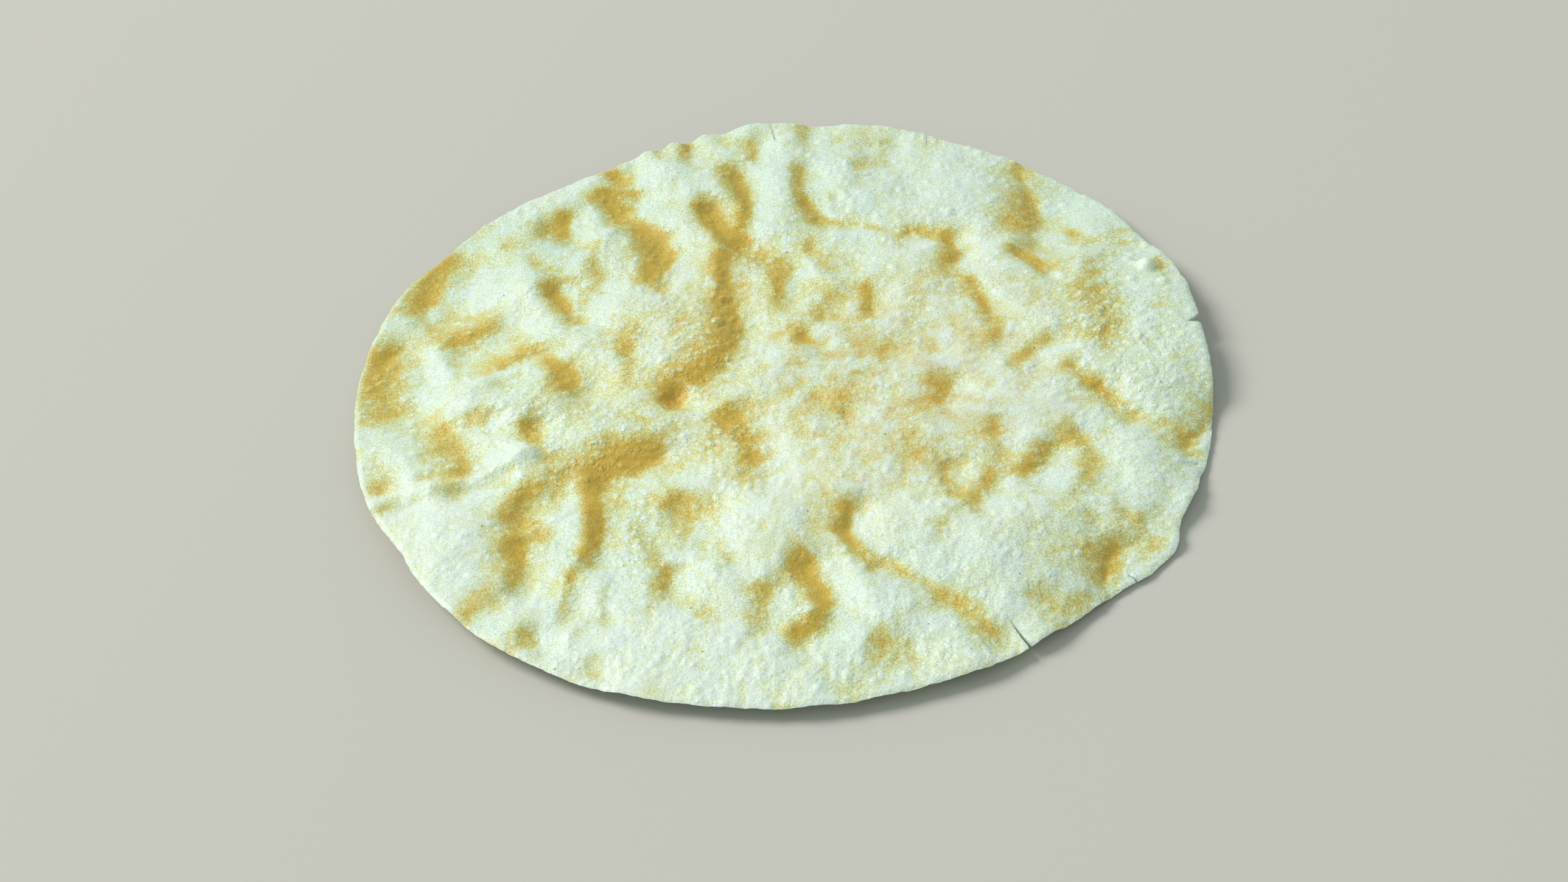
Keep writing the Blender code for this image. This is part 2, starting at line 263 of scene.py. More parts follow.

# The walls of the folds, by quarter of the round: each falls away to the lee side into a valley, and its
# amber is partly the clear dough's own colour and partly painted shade on the side turned from the key
# light
FAR_LEFT_WALLS = (
    Wall(((-82, 56), (-84, 49), (-85.5, 42)), 8.5, 0.78),
    Wall(((-95, 24), (-94, 17), (-94, 10), (-92, 3)), 7.5, 0.72),
    Wall(((-86, 36), (-85, 31)), 5.0, 0.35),
    Wall(((-79, 26), (-70, 31)), 8.0, 0.78),
    Wall(((-79, 22), (-76, 12)), 6.0, 0.3),
    Wall(((-69, 14), (-64, 18), (-60, 20)), 5.0, 0.8),
    Wall(((-57, 20), (-57, 18)), 3.0, 0.6),
    Wall(((-54, 14), (-51, 10), (-49, 6)), 4.5, 0.9),
    Wall(((-55, 42), (-53, 38), (-51, 33)), 4.2, 0.9),
    Wall(((-49, 44), (-47, 40), (-46, 35)), 2.6, 0.55),
    Wall(((-48, 29), (-46, 28)), 3.0, 0.4),
    Wall(((-43, 58), (-45, 50), (-43, 45), (-44, 40)), 3.0, 0.5),
    Wall(((-51, 70), (-51, 62)), 3.8, 0.75),
    Wall(((-57, 67), (-54, 63)), 5.0, 0.45),
    Wall(((-67, 61), (-61, 60)), 4.0, 0.4),
    Wall(((-71, 57), (-73, 52)), 4.0, 0.45),
    Wall(((-59, 53), (-55, 50)), 2.6, 0.4),
    Wall(((-37.5, 87), (-34, 79)), 4.5, 0.7),
    Wall(((-41, 77), (-33, 76)), 5.5, 0.85),
    Wall(((-39, 73), (-34, 66), (-30, 60)), 4.6, 0.85),
    Wall(((-28, 57), (-26.5, 51), (-28, 44)), 6.5, 0.95),
    Wall(((-16, 68), (-13, 62), (-10, 56)), 4.0, 0.9),
    Wall(((-9, 55), (-6, 52)), 6.0, 0.95),
    Wall(((-8, 82), (-6, 76), (-5, 70), (-6, 62), (-7, 55)), 4.0, 0.82),
    Wall(((-2, 93), (-1, 86)), 3.0, 0.6),
    Wall(((-19, 94), (-19, 90)), 2.2, 0.6),
    Wall(((-27, 95), (-26, 93)), 2.0, 0.4),
    Wall(((-12, 48), (-11.5, 38)), 4.2, 0.75),
    Wall(((-11.5, 32), (-11, 22)), 4.4, 0.78),
    Wall(((-11, 19), (-14, 11), (-20, 4)), 5.0, 0.66),
    Wall(((-26, 0), (-26.5, -2), (-24, -3.4)), 3.0, 0.95),
    Wall(((-34, 22), (-36, 15)), 3.0, 0.5),
    Wall(((-37, 10), (-38, 5)), 3.0, 0.3),
    Wall(((-92, 2), (-88, 0)), 3.5, 0.45),
)

FAR_RIGHT_WALLS = (
    Wall(((9.5, 79), (9, 73), (9.5, 67)), 3.2, 0.5),
    Wall(((10, 66), (12, 61), (15, 57), (19, 55)), 2.4, 0.7),
    Wall(((13, 97), (12, 92)), 2.0, 0.45),
    Wall(((26, 86), (26, 76)), 3.6, 0.35),
    Wall(((32, 86), (31, 80)), 3.0, 0.4),
    Wall(((17, 67), (17, 64)), 2.0, 0.45),
    Wall(((34, 73), (34, 68)), 2.5, 0.25),
    Wall(((67, 66), (66, 60), (65, 53), (62, 46)), 8.0, 0.72),
    Wall(((56, 49), (52, 44)), 5.0, 0.35),
    Wall(((22, 54), (28, 51), (33, 49)), 1.2, 0.5),
    Wall(((34, 49), (38, 48)), 3.0, 0.6),
    Wall(((43, 46), (44, 41), (44.5, 38)), 4.2, 0.85),
    Wall(((46, 40), (51, 40)), 2.0, 0.6),
    Wall(((42, 37), (42, 31)), 3.0, 0.4),
    Wall(((59, 39), (62, 34.5), (65, 31)), 2.6, 0.8),
    Wall(((66, 29), (69, 30)), 3.0, 0.6),
    Wall(((73, 43.5), (76, 40)), 2.8, 0.7),
    Wall(((78, 39), (83, 38), (87, 36)), 3.0, 0.4),
    Wall(((1, 45), (2, 38), (1, 31)), 4.5, 0.6),
    Wall(((9, 47), (13, 41)), 3.4, 0.6),
    Wall(((23, 29), (22, 22)), 2.4, 0.6),
    Wall(((13, 28), (10, 22)), 3.4, 0.35),
    Wall(((47, 28), (49, 22), (50, 15)), 3.0, 0.65),
    Wall(((5, 15), (7, 12)), 2.6, 0.6),
    Wall(((53, 12), (50, 5)), 2.4, 0.5),
    Wall(((62, 4), (60, 1)), 2.4, 0.45),
    Wall(((75, 30), (76, 16), (77, 4)), 6.0, 0.4),
    Wall(((93.4, 28), (93.6, 25)), 1.4, 0.6),
)

NEAR_LEFT_WALLS = (
    Wall(((-81, -3), (-78.5, -10), (-75.5, -16), (-77, -22)), 5.6, 0.66),
    Wall(((-94, -23), (-90, -26)), 3.6, 0.5),
    Wall(((-70, -2), (-70, -5)), 3.6, 0.55),
    Wall(((-60, -7), (-57, -13)), 4.0, 0.55),
    Wall(((-84, -22.5), (-76, -20.5)), 1.8, 0.45),
    Wall(((-64, -36), (-62, -31.5), (-57, -29)), 4.8, 0.78),
    Wall(((-59, -39), (-56.5, -44)), 4.6, 0.6),
    Wall(((-63, -44), (-62, -50), (-63.5, -57)), 4.6, 0.75),
    Wall(((-66, -59), (-70, -61), (-73, -65)), 3.8, 0.46),
    Wall(((-52, -27), (-54, -36)), 3.4, 0.45),
    Wall(((-33.5, -21.3), (-38, -23), (-44, -26.8)), 7.4, 1.0),
    Wall(((-45, -28), (-45, -40), (-46.5, -50)), 4.0, 0.88),
    Wall(((-50.5, -55), (-51.5, -66)), 2.6, 0.45),
    Wall(((-43.5, -60), (-43.5, -70)), 2.0, 0.35),
    Wall(((-40, -30), (-38.5, -36)), 3.0, 0.45),
    Wall(((-37, -42), (-33, -50), (-30.5, -57)), 2.6, 0.45),
    Wall(((-30, -58), (-30, -63)), 3.0, 0.62),
    Wall(((-28, -37), (-24, -38.5)), 5.0, 0.68),
    Wall(((-25, -43), (-25, -47)), 4.5, 0.5),
    Wall(((-19, -41), (-18, -50), (-17, -57)), 3.0, 0.36),
    Wall(((-14, -9), (-11, -16), (-9.5, -22), (-9, -28)), 4.2, 0.55),
    Wall(((-59.5, -72), (-58, -76)), 2.4, 0.5),
    Wall(((-48, -69), (-49, -75)), 1.8, 0.3),
    Wall(((-47, -82), (-46, -86)), 2.6, 0.3),
    Wall(((-9, -67), (-10, -76)), 4.0, 0.42),
    Wall(((-28, -66), (-22, -71)), 3.0, 0.28),
)

NEAR_RIGHT_WALLS = (
    Wall(((-0.5, -59), (1.5, -66), (3.5, -73), (0, -79), (-4, -80)), 4.0, 0.85),
    Wall(((10.8, -44.5), (10, -48)), 3.2, 0.85),
    Wall(((9.5, -50), (11, -56), (14, -61)), 3.0, 0.8),
    Wall(((15, -62), (21, -66), (26, -71)), 2.6, 0.7),
    Wall(((28, -73), (31, -76), (35, -81), (37, -85)), 3.6, 0.66),
    Wall(((35, -13), (37, -9)), 3.0, 0.5),
    Wall(((12, -13), (14, -10)), 2.4, 0.4),
    Wall(((46, -24), (45, -34)), 3.0, 0.45),
    Wall(((56, -33), (51, -39)), 4.2, 0.65),
    Wall(((43, -40), (38, -46)), 4.2, 0.52),
    Wall(((34, -50), (31, -53)), 3.0, 0.35),
    Wall(((33, -36), (34, -40)), 3.0, 0.4),
    Wall(((63, -27), (65, -36), (66, -42)), 4.2, 0.64),
    Wall(((64, -43), (61, -47)), 3.4, 0.3),
    Wall(((66, -6), (68.5, -11)), 2.4, 0.5),
    Wall(((70, -13), (73, -19), (75.5, -22)), 3.6, 0.75),
    Wall(((77, -24), (80, -27), (84, -30)), 3.6, 0.5),
    Wall(((87, -34), (89, -39)), 4.4, 0.78),
    Wall(((94, -24), (92, -31)), 3.4, 0.5),
    Wall(((68, -49), (69, -55)), 2.4, 0.45),
    Wall(((62, -54), (62, -58)), 3.0, 0.35),
    Wall(((57, -1), (55, -3)), 3.0, 0.45),
    Wall(((64, -66), (64, -73)), 6.2, 0.8),
    Wall(((48, -77), (50, -80)), 2.4, 0.4),
    Wall(((53, -82), (58, -79)), 3.0, 0.5),
    Wall(((73, -58), (74, -64)), 2.8, 0.55),
    Wall(((77, -60), (78, -62)), 2.2, 0.4),
    Wall(((73, -69), (77, -66)), 3.0, 0.6),
    Wall(((13, -85), (19, -88)), 4.0, 0.42),
)

RIDGES = (
    Ridge(((-20, 42), (-16, 52), (-19, 62), (-24, 74), (-25, 88)), 1.1, 5.0),
    Ridge(((3, 56), (4, 70), (6, 84), (7, 98)), 1.5, 4.6),
    Ridge(((-88, -24), (-89, -12), (-89, 0)), 1.2, 3.8),
    Ridge(((-94, -29), (-86, -26.5), (-78, -24), (-70, -21.5), (-59, -18)), 1.3, 1.4),
    Ridge(((-82, 3), (-65.5, 13), (-56, 16.5)), 0.8, 1.4),
    Ridge(((-60, -19), (-50, -15), (-40, -14), (-31, -16)), 1.3, 3.0),
    Ridge(((-26, -29), (-15, -37), (-7, -44)), 1.3, 6.0),
    Ridge(((18, 52), (27, 49), (36, 46), (44, 41)), 0.9, 1.8),
    Ridge(((48, 36), (56, 40), (63, 43)), 0.8, 2.0),
)

MOUNDS = (
    Mound(-62, 4, 2.2, 13.0, 6.0, 18.0),
    Mound(-60, 42, 1.2, 5.0, 4.0, 90.0),
    Mound(-40, 51, 1.7, 7.0, 5.0, 80.0),
    Mound(-62, 62, 1.0, 5.0, 5.0),
    Mound(-10, 72, 1.2, 5.0, 3.2, 100.0),
    Mound(-24, 25, 1.4, 12.0, 8.0, 80.0),
    Mound(-27, -4, -2.0, 4.0, 3.0, 120.0),
    Mound(12, 31, 1.2, 7.0, 5.0, 60.0),
    Mound(34, 31, 1.4, 9.0, 7.0, 60.0),
    Mound(54, 33, 1.5, 8.0, 6.0, 110.0),
    Mound(73, 20, 2.0, 12.0, 9.0, 100.0),
    Mound(50, 66, 1.2, 16.0, 10.0, 120.0),
    Mound(22, 74, 1.0, 10.0, 7.0, 90.0),
    Mound(-75, -40, 1.8, 9.0, 7.0, 60.0),
    Mound(-70, -5, -1.2, 3.0, 3.0),
    Mound(-58, -10, -1.2, 3.5, 2.5),
    Mound(-90, -25, -1.0, 3.5, 3.0),
    Mound(-56, -74, -1.0, 4.0, 3.0),
    Mound(-36, -34, 1.2, 6.0, 5.0),
    Mound(-12, -56, 1.0, 8.0, 6.0),
    Mound(41, -64, 2.0, 13.0, 9.0, 140.0),
    Mound(18, -30, 0.9, 14.0, 10.0, 30.0),
    Mound(36, -38, -1.0, 3.5, 3.0),
    Mound(39, -10, -1.0, 3.5, 3.5),
    Mound(59, -1, -1.0, 3.5, 3.0, 40.0),
    Mound(26, 0, -0.9, 3.0, 3.0),
    Mound(20, -88, -0.8, 5.0, 5.0),
    Mound(84, -8, 1.0, 12.0, 7.0, 90.0),
)

CRACKS = (
    Crack("far_crack", (3.8, 101.5), (5.0, 90.8), 0.8),
    Crack("far_right_crack", (44.6, 92.0), (43.6, 85.0), 0.9),
    Crack("right_notch", (99.8, 2.8), (95.2, 1.4), 4.2),
    Crack("near_crack", (45.4, -90.5), (41.5, -82.0), 0.8),
    Crack("near_right_crack", (71.5, -75.0), (68.5, -71.0), 0.9),
)

# The bubbles that are big enough to be told apart
BIG_BLISTERS = (
    Blister(90.0, 26.0, 2.4, 0.8),
    Blister(93.0, 19.5, 1.6, 0.6),
    Blister(94.5, 23.0, 1.0, 0.6),
    Blister(91.0, 33.5, 1.3, 0.6),
    Blister(88.5, 36.0, 1.0, 0.6),
    Blister(87.0, 30.5, 1.0, 0.6),
    Blister(85.5, 21.5, 1.3, 0.5),
    Blister(-14.0, 22.0, 1.7, 0.7),
    Blister(-12.5, 30.0, 1.1, 0.7),
    Blister(-97.0, 11.0, 1.1, 0.6),
    Blister(-94.0, 12.5, 1.1, 0.6),
    Blister(-56.0, 19.0, 1.2, 0.6),
    Blister(9.5, -48.0, 1.1, 0.6),
    Blister(46.0, 55.0, 1.3, 0.5),
    Blister(74.0, 52.0, 1.3, 0.5),
)

BLISTER_PATCHES = (
    BlisterPatch(0.0, 0.0, 62.0, 62.0, 3400, 0.75, 1.15),
    BlisterPatch(-21.0, 15.0, 8.0, 14.0, 480, 0.75, 1.3),
    BlisterPatch(-4.5, 41.0, 3.0, 8.0, 90, 0.7, 1.1),
    BlisterPatch(-13.0, -22.0, 6.0, 8.0, 160, 0.75, 1.2),
    BlisterPatch(-44.0, -17.0, 9.0, 8.0, 200, 0.75, 1.2),
    BlisterPatch(-33.0, 25.0, 4.0, 9.0, 110, 0.75, 1.1),
    BlisterPatch(78.0, 4.0, 6.0, 13.0, 300, 0.8, 1.6),
    BlisterPatch(84.0, -8.0, 9.0, 14.0, 300, 0.75, 1.3),
    BlisterPatch(8.0, -90.0, 28.0, 5.0, 220, 0.8, 1.5),
    BlisterPatch(-50.0, -5.0, 22.0, 9.0, 260, 0.75, 1.3),
    BlisterPatch(-38.0, -44.0, 3.0, 11.0, 90, 0.75, 1.3),
    BlisterPatch(62.0, -62.0, 22.0, 20.0, 260, 0.75, 1.3),
    BlisterPatch(40.0, 68.0, 26.0, 16.0, 150, 0.75, 1.3),
)

TOAST_AND_SHADE_PATCHES = (
    ToastAndShadePatch(26.0, -6.0, 24.0, 26.0, 0.85),
    ToastAndShadePatch(-22.0, 12.0, 10.0, 20.0, 0.5),
    ToastAndShadePatch(-14.0, -16.0, 14.0, 10.0, 0.4),
    ToastAndShadePatch(-26.0, -2.5, 4.0, 3.0, 1.0),
    # These two paint shade into the T-shaped pit's cross bar and stem, not browning
    ToastAndShadePatch(-39.0, -23.5, 7.0, 3.0, 1.0),
    ToastAndShadePatch(-45.0, -36.0, 2.0, 9.0, 0.8),
    ToastAndShadePatch(-10.0, 40.0, 10.0, 16.0, 0.5),
    ToastAndShadePatch(60.0, 22.0, 16.0, 14.0, 0.4),
)

# Broad patches of clearer, whiter and greyer dough: partly uneven froth, partly painted light and shade,
# brightest at the near left
FROTH_AND_LIGHT_PATCHES = (
    FrothAndLightPatch(-85.0, -50.0, 14.0, 20.0, -0.12, 0.5),
    FrothAndLightPatch(-30.0, -88.0, 26.0, 12.0, -0.12, 0.5),
    FrothAndLightPatch(6.0, -46.0, 20.0, 13.0, -0.18, 0.4),
    FrothAndLightPatch(42.0, 5.0, 12.0, 26.0, -0.18, 0.3),
    FrothAndLightPatch(60.0, -22.0, 12.0, 10.0, -0.14, 0.2),
    FrothAndLightPatch(-56.0, 80.0, 12.0, 7.0, -0.2, 0.2),
    FrothAndLightPatch(-62.0, 39.0, 8.0, 6.0, -0.12, 0.1),
    FrothAndLightPatch(-22.0, 26.0, 6.0, 10.0, -0.12, 0.2),
    FrothAndLightPatch(-26.0, 3.0, 6.0, 4.0, 0.22, 0.0),
    FrothAndLightPatch(-74.0, 60.0, 16.0, 9.0, 0.14, -0.35),
    FrothAndLightPatch(-35.0, 66.0, 34.0, 18.0, 0.0, -0.12),
    FrothAndLightPatch(4.0, 62.0, 14.0, 24.0, -0.05, -0.15),
    FrothAndLightPatch(48.0, 60.0, 30.0, 20.0, -0.17, 0.0),
    FrothAndLightPatch(84.0, 62.0, 12.0, 14.0, -0.05, -0.3),
    FrothAndLightPatch(77.0, 20.0, 7.0, 16.0, 0.14, -0.15),
    FrothAndLightPatch(97.0, -4.0, 10.0, 50.0, -0.12, -0.12),
    FrothAndLightPatch(84.0, -44.0, 14.0, 20.0, -0.18, 0.0),
    FrothAndLightPatch(-38.0, -46.0, 8.0, 10.0, -0.04, -0.3),
    FrothAndLightPatch(22.0, -60.0, 9.0, 8.0, -0.1, -0.3),
    FrothAndLightPatch(2.0, -84.0, 10.0, 8.0, 0.0, -0.25),
    FrothAndLightPatch(50.0, -78.0, 20.0, 14.0, -0.16, 0.0),
    FrothAndLightPatch(-50.0, 36.0, 12.0, 12.0, -0.1, 0.0),
    FrothAndLightPatch(-10.0, 66.0, 5.0, 10.0, 0.2, 0.0),
    FrothAndLightPatch(2.0, -12.0, 24.0, 20.0, -0.07, 0.1),
)


def bell(distance: np.ndarray, spread: float | np.ndarray) -> np.ndarray:
    """A bell curve of height 1."""
    return np.exp(-0.5 * (distance / spread) ** 2)


def angle_gap(angles: np.ndarray, centre: float) -> np.ndarray:
    """Degrees from centre, between -180 and 180."""
    return (angles - centre + 180.0) % 360.0 - 180.0


def noise_layer(
    x: np.ndarray, y: np.ndarray, wavelength: float, pattern: Pattern = Pattern.FORM
) -> np.ndarray:
    """Smooth noise between about -1 and 1, the same on every run.

    Args:
        x: Places along X in millimetres.
        y: Places along Y in millimetres.
        wavelength: Distance between its hills in millimetres.
        pattern: Which of the patterns of noise to read.

    Returns:
        One value for each place.
    """
    seed = NOISE_SEED + Vector((0.0, 0.0, pattern.value))
    places = (seed + Vector((a, b, 0.0)) / wavelength for a, b in zip(x.tolist(), y.tolist()))
    return np.array([noise.noise(place) for place in places])


def points_of(obj: bpy.types.Object) -> np.ndarray:
    """Reads the points of an object's mesh.

    Args:
        obj: The object.

    Returns:
        Its points, one row each.
    """
    flat = np.empty(len(obj.data.vertices) * 3)
    obj.data.vertices.foreach_get("co", flat)
    return flat.reshape(-1, 3)


def active_only(obj: bpy.types.Object) -> None:
    """Selects one object alone and makes it the active one.

    Args:
        obj: The object.
    """
    bpy.ops.object.select_all(action="DESELECT")
    obj.select_set(True)
    bpy.context.view_layer.objects.active = obj


@dataclass
class SheetForm:
    """The form of the round: its outline, dome, folds and mounds, all in the tables' millimetres."""

    radius: float = 100.0
    dome: float = 3.4
    lowest: float = -3.4

    # The folds' tables are drawn on the rim's level, as an eye here sees them
    eye: tuple[float, float, float] = (-1.2, -424.3, 377.0)
    path_steps: int = 5
    fold_reach: float = 22.0

    # The valleys: which way the walls fall, their slope, and how much gentler the far side rises.
    # A bell of height 1 and spread 1 is bell_slope steep at its steepest
    lee: tuple[float, float] = (0.9, -0.44)
    wall_slope: float = 0.66
    deepest: float = 3.6
    valley_gap: float = 0.8
    far_side: float = 1.7
    blend_power: float = 3.0
    bell_slope: float = 0.607

    # The walls' amber, partly clear dough and partly painted shade: how softly it ends, and how far a thin
    # halo reaches beyond it
    edge_softness: float = 0.22
    lee_blur: float = 0.9
    windward_blur: float = 0.9
    faint_blur: float = 2.0
    edge_limit: float = 30.0
    halo: float = 0.4
    faint_halo: float = 1.4
    lee_halo: float = 0.3
    halo_reach: float = 2.2
    lee_halo_reach: float = 0.4
    faintness: float = 1.35
    least_distance: float = 1e-6

    # How unevenly the folds run, and how their amber frays
    wander: float = 0.9
    wander_pitch: float = 9.0
    fray: float = 0.8
    fray_pitch: float = 3.6

    # How far out the rim's ripples stand for each millimetre up, and the sheet's own unevenness
    ripple_reach: float = 0.8
    rim_roughness: float = 0.25
    rim_roughness_pitch: float = 6.0
    lump_layers: tuple[tuple[float, float], ...] = ((26.0, 0.8), (13.0, 0.45), (7.0, 0.3))
    walls: tuple[Wall, ...] = (
        *FAR_LEFT_WALLS,
        *FAR_RIGHT_WALLS,
        *NEAR_LEFT_WALLS,
        *NEAR_RIGHT_WALLS,
    )

    def rim_radius(self, angles: np.ndarray) -> np.ndarray:
        """The outline: a circle with its swells, its ripples' crests and a little roughness.

        Args:
            angles: Directions in degrees.

        Returns:
            The distance of the rim in each direction.
        """
        radius = np.full(len(angles), self.radius)
        for swell in RIM_SWELLS:
            radius += swell.reach * bell(angle_gap(angles, swell.angle), swell.spread)
        for ripple in RIM_RIPPLES:
            radius += self.ripple_reach * ripple.lift * bell(angle_gap(angles, ripple.angle), ripple.spread)
        turn = np.radians(angles)
        rough = noise_layer(
            self.radius * np.cos(turn), self.radius * np.sin(turn), self.rim_roughness_pitch
        )
        return radius + self.rim_roughness * rough

    def shape(self, x: np.ndarray, y: np.ndarray) -> tuple[np.ndarray, np.ndarray]:
        """The round's upper face before the frame's shift, and how amber its walls paint the dough, partly
        clear dough and partly painted shade.

        Args:
            x: Places along X in millimetres.
            y: Places along Y in millimetres.

        Returns:
            The height at each place, and how amber the walls paint it there, from 0 to 1.
        """
        height = self.dome * (1 - (x**2 + y**2) / self.radius**2)
        height += self._rim_height(x, y, RIM_BENDS)
        height += self._rim_height(x, y, RIM_RIPPLES)
        for mound in MOUNDS:
            height += self._mound_height(x, y, mound)
        for wavelength, size in self.lump_layers:
            height += size * noise_layer(x, y, wavelength)
        wander = self.wander * np.stack(
            (noise_layer(x, y, self.wander_pitch), noise_layer(y, x, self.wander_pitch)), 1
        )
        frays = (noise_layer(x, y, self.fray_pitch, way) for way in (Pattern.FRAY_X, Pattern.FRAY_Y))
        fray = self.fray * np.stack(tuple(frays), 1)
        drawn = self.drawn_place(x, y, height) + wander
        depth = np.zeros(len(x))
        for wall in self.walls:
            near = self._near(drawn, wall.path)
            depth[near] += self._valley(drawn[near], wall) ** self.blend_power
        height -= depth ** (1 / self.blend_power)
        for ridge in RIDGES:
            near = self._near(drawn, ridge.path)
            offset = self._offset(drawn[near], self._route(ridge.path))
            height[near] += ridge.height * bell(np.hypot(offset[:, 0], offset[:, 1]), ridge.spread)
        height = np.maximum(height, self.lowest)
        drawn = self.drawn_place(x, y, height) + wander + fray
        # The walls' amber: partly clear dough, partly painted shade on their lee sides
        clear = np.zeros(len(x))
        for wall in self.walls:
            near = self._near(drawn, wall.path)
            clear[near] = np.maximum(clear[near], self._wall_amber_and_shade(drawn[near], wall))
        return height, clear

    def drawn_place(self, x: np.ndarray, y: np.ndarray, height: np.ndarray) -> np.ndarray:
        """Where the tables have each point: on the rim's level, in line with the eye."""
        ahead = np.stack((x - self.eye[0], y - self.eye[1]), 1)
        return np.stack((x, y), 1) + ahead * (height / (self.eye[2] - height))[:, None]

    def _rim_height(self, x: np.ndarray, y: np.ndarray, bends: tuple[RimBend, ...]) -> np.ndarray:
        """How far some bends of the rim lift or lower each place.

        Args:
            x: Places along X in millimetres.
            y: Places along Y in millimetres.
            bends: The bends.

        Returns:
            The lift at each place.
        """
        angles = np.degrees(np.arctan2(y, x))
        inward = np.maximum(self.radius - np.hypot(x, y), 0)
        total = np.zeros(len(x))
        for bend in bends:
            half_band = bend.band / 2
            total += bend.lift * bell(angle_gap(angles, bend.angle), bend.spread) * bell(inward, half_band)
        return total

    def _route(self, path: Path) -> np.ndarray:
        """Draws a path as a Catmull-Rom curve through its points.

        Args:
            path: The points.

        Returns:
            The curve's places, one row each.
        """
        knots = np.array(path, float)
        knots = np.vstack((2 * knots[0] - knots[1], knots, 2 * knots[-1] - knots[-2]))
        t = (np.arange(self.path_steps) / self.path_steps)[:, None]
        samples = []
        for before, start, end, after in zip(knots, knots[1:], knots[2:], knots[3:]):
            samples.append(
                start
                + 0.5 * t * (end - before)
                + t**2 * (before - 2.5 * start + 2 * end - 0.5 * after)
                + t**3 * (1.5 * (start - end) + 0.5 * (after - before))
            )
        return np.vstack((*samples, knots[-2]))

    def _near(self, points: np.ndarray, path: Path) -> np.ndarray:
        """Finds the points that a fold can reach.

        Args:
            points: Drawn places, one row each.
            path: The fold's path.

        Returns:
            The numbers of those points.
        """
        low = np.min(path, axis=0) - self.fold_reach
        high = np.max(path, axis=0) + self.fold_reach
        return np.flatnonzero(((points > low) & (points < high)).all(axis=1))

    def _offset(self, points: np.ndarray, route: np.ndarray) -> np.ndarray:
        """Measures from the nearest place of a route to each point.

        Args:
            points: Drawn places, one row each.
            route: The route's places.

        Returns:
            The way from the route to each point, one row each.
        """
        nearest = np.full(len(points), np.inf)
        offset = np.zeros_like(points)
        for start, end in zip(route, route[1:]):
            along = end - start
            reach = np.clip((points - start) @ along / (along @ along), 0, 1)
            apart = points - start - reach[:, None] * along
            distance = np.hypot(apart[:, 0], apart[:, 1])
            closer = distance < nearest
            nearest = np.where(closer, distance, nearest)
            offset = np.where(closer[:, None], apart, offset)
        return offset

    def _valley(self, points: np.ndarray, wall: Wall) -> np.ndarray:
        """How deep the valley below a wall is: steep under the wall and gentle beyond.

        Args:
            points: Drawn places, one row each.
            wall: The wall.

        Returns:
            The depth at each point.
        """
        steep = wall.width / 2 + self.valley_gap
        depth = min(self.wall_slope * wall.strength * steep / self.bell_slope, self.deepest)
        offset = self._offset(points, self._route(wall.path) + np.array(self.lee) * steep)
        distance = np.hypot(offset[:, 0], offset[:, 1])
        side = self._lee_side(offset, distance)
        return depth * bell(distance, steep * (1 + side * (self.far_side - 1)))

    def _wall_amber_and_shade(self, points: np.ndarray, wall: Wall) -> np.ndarray:
        """How amber a wall paints the dough, partly clear dough and partly painted shade: even over its
        width, fading at its edges.

        Args:
            points: Drawn places, one row each.
            wall: The wall.

        Returns:
            A value from 0 to 1 for each point.
        """
        offset = self._offset(points, self._route(wall.path))
        distance = np.hypot(offset[:, 0], offset[:, 1])
        toward_key_light = 1 - self._lee_side(offset, distance)
        blur = self.lee_blur + self.windward_blur * toward_key_light
        softness = self.edge_softness * blur * (self.faint_blur - wall.strength)
        over = distance / (wall.width / 2) - 1
        core = 1 / (1 + np.exp(np.clip(over / softness, -self.edge_limit, self.edge_limit)))
        reach = wall.width / 2 + self.halo_reach * (self.lee_halo_reach + toward_key_light)
        halo = self.halo * (self.faint_halo - wall.strength) * (self.lee_halo + toward_key_light)
        halo = halo * bell(distance, reach)
        return wall.strength**self.faintness * (core + halo - core * halo)

    def _lee_side(self, offset: np.ndarray, distance: np.ndarray) -> np.ndarray:
        """How far to the lee each offset points, from 0 to 1."""
        return 0.5 + 0.5 * (offset @ np.array(self.lee)) / np.maximum(distance, self.least_distance)

    def _mound_height(self, x: np.ndarray, y: np.ndarray, mound: Mound) -> np.ndarray:
        """The height of a mound: a bell along and across its turn.

        Args:
            x: Places along X in millimetres.
            y: Places along Y in millimetres.
            mound: The mound.

        Returns:
            What it adds at each place.
        """
        turn = np.radians(mound.turn)
        along = (x - mound.x) * np.cos(turn) + (y - mound.y) * np.sin(turn)
        across = (y - mound.y) * np.cos(turn) - (x - mound.x) * np.sin(turn)
        return mound.height * bell(along, mound.length) * bell(across, mound.width)


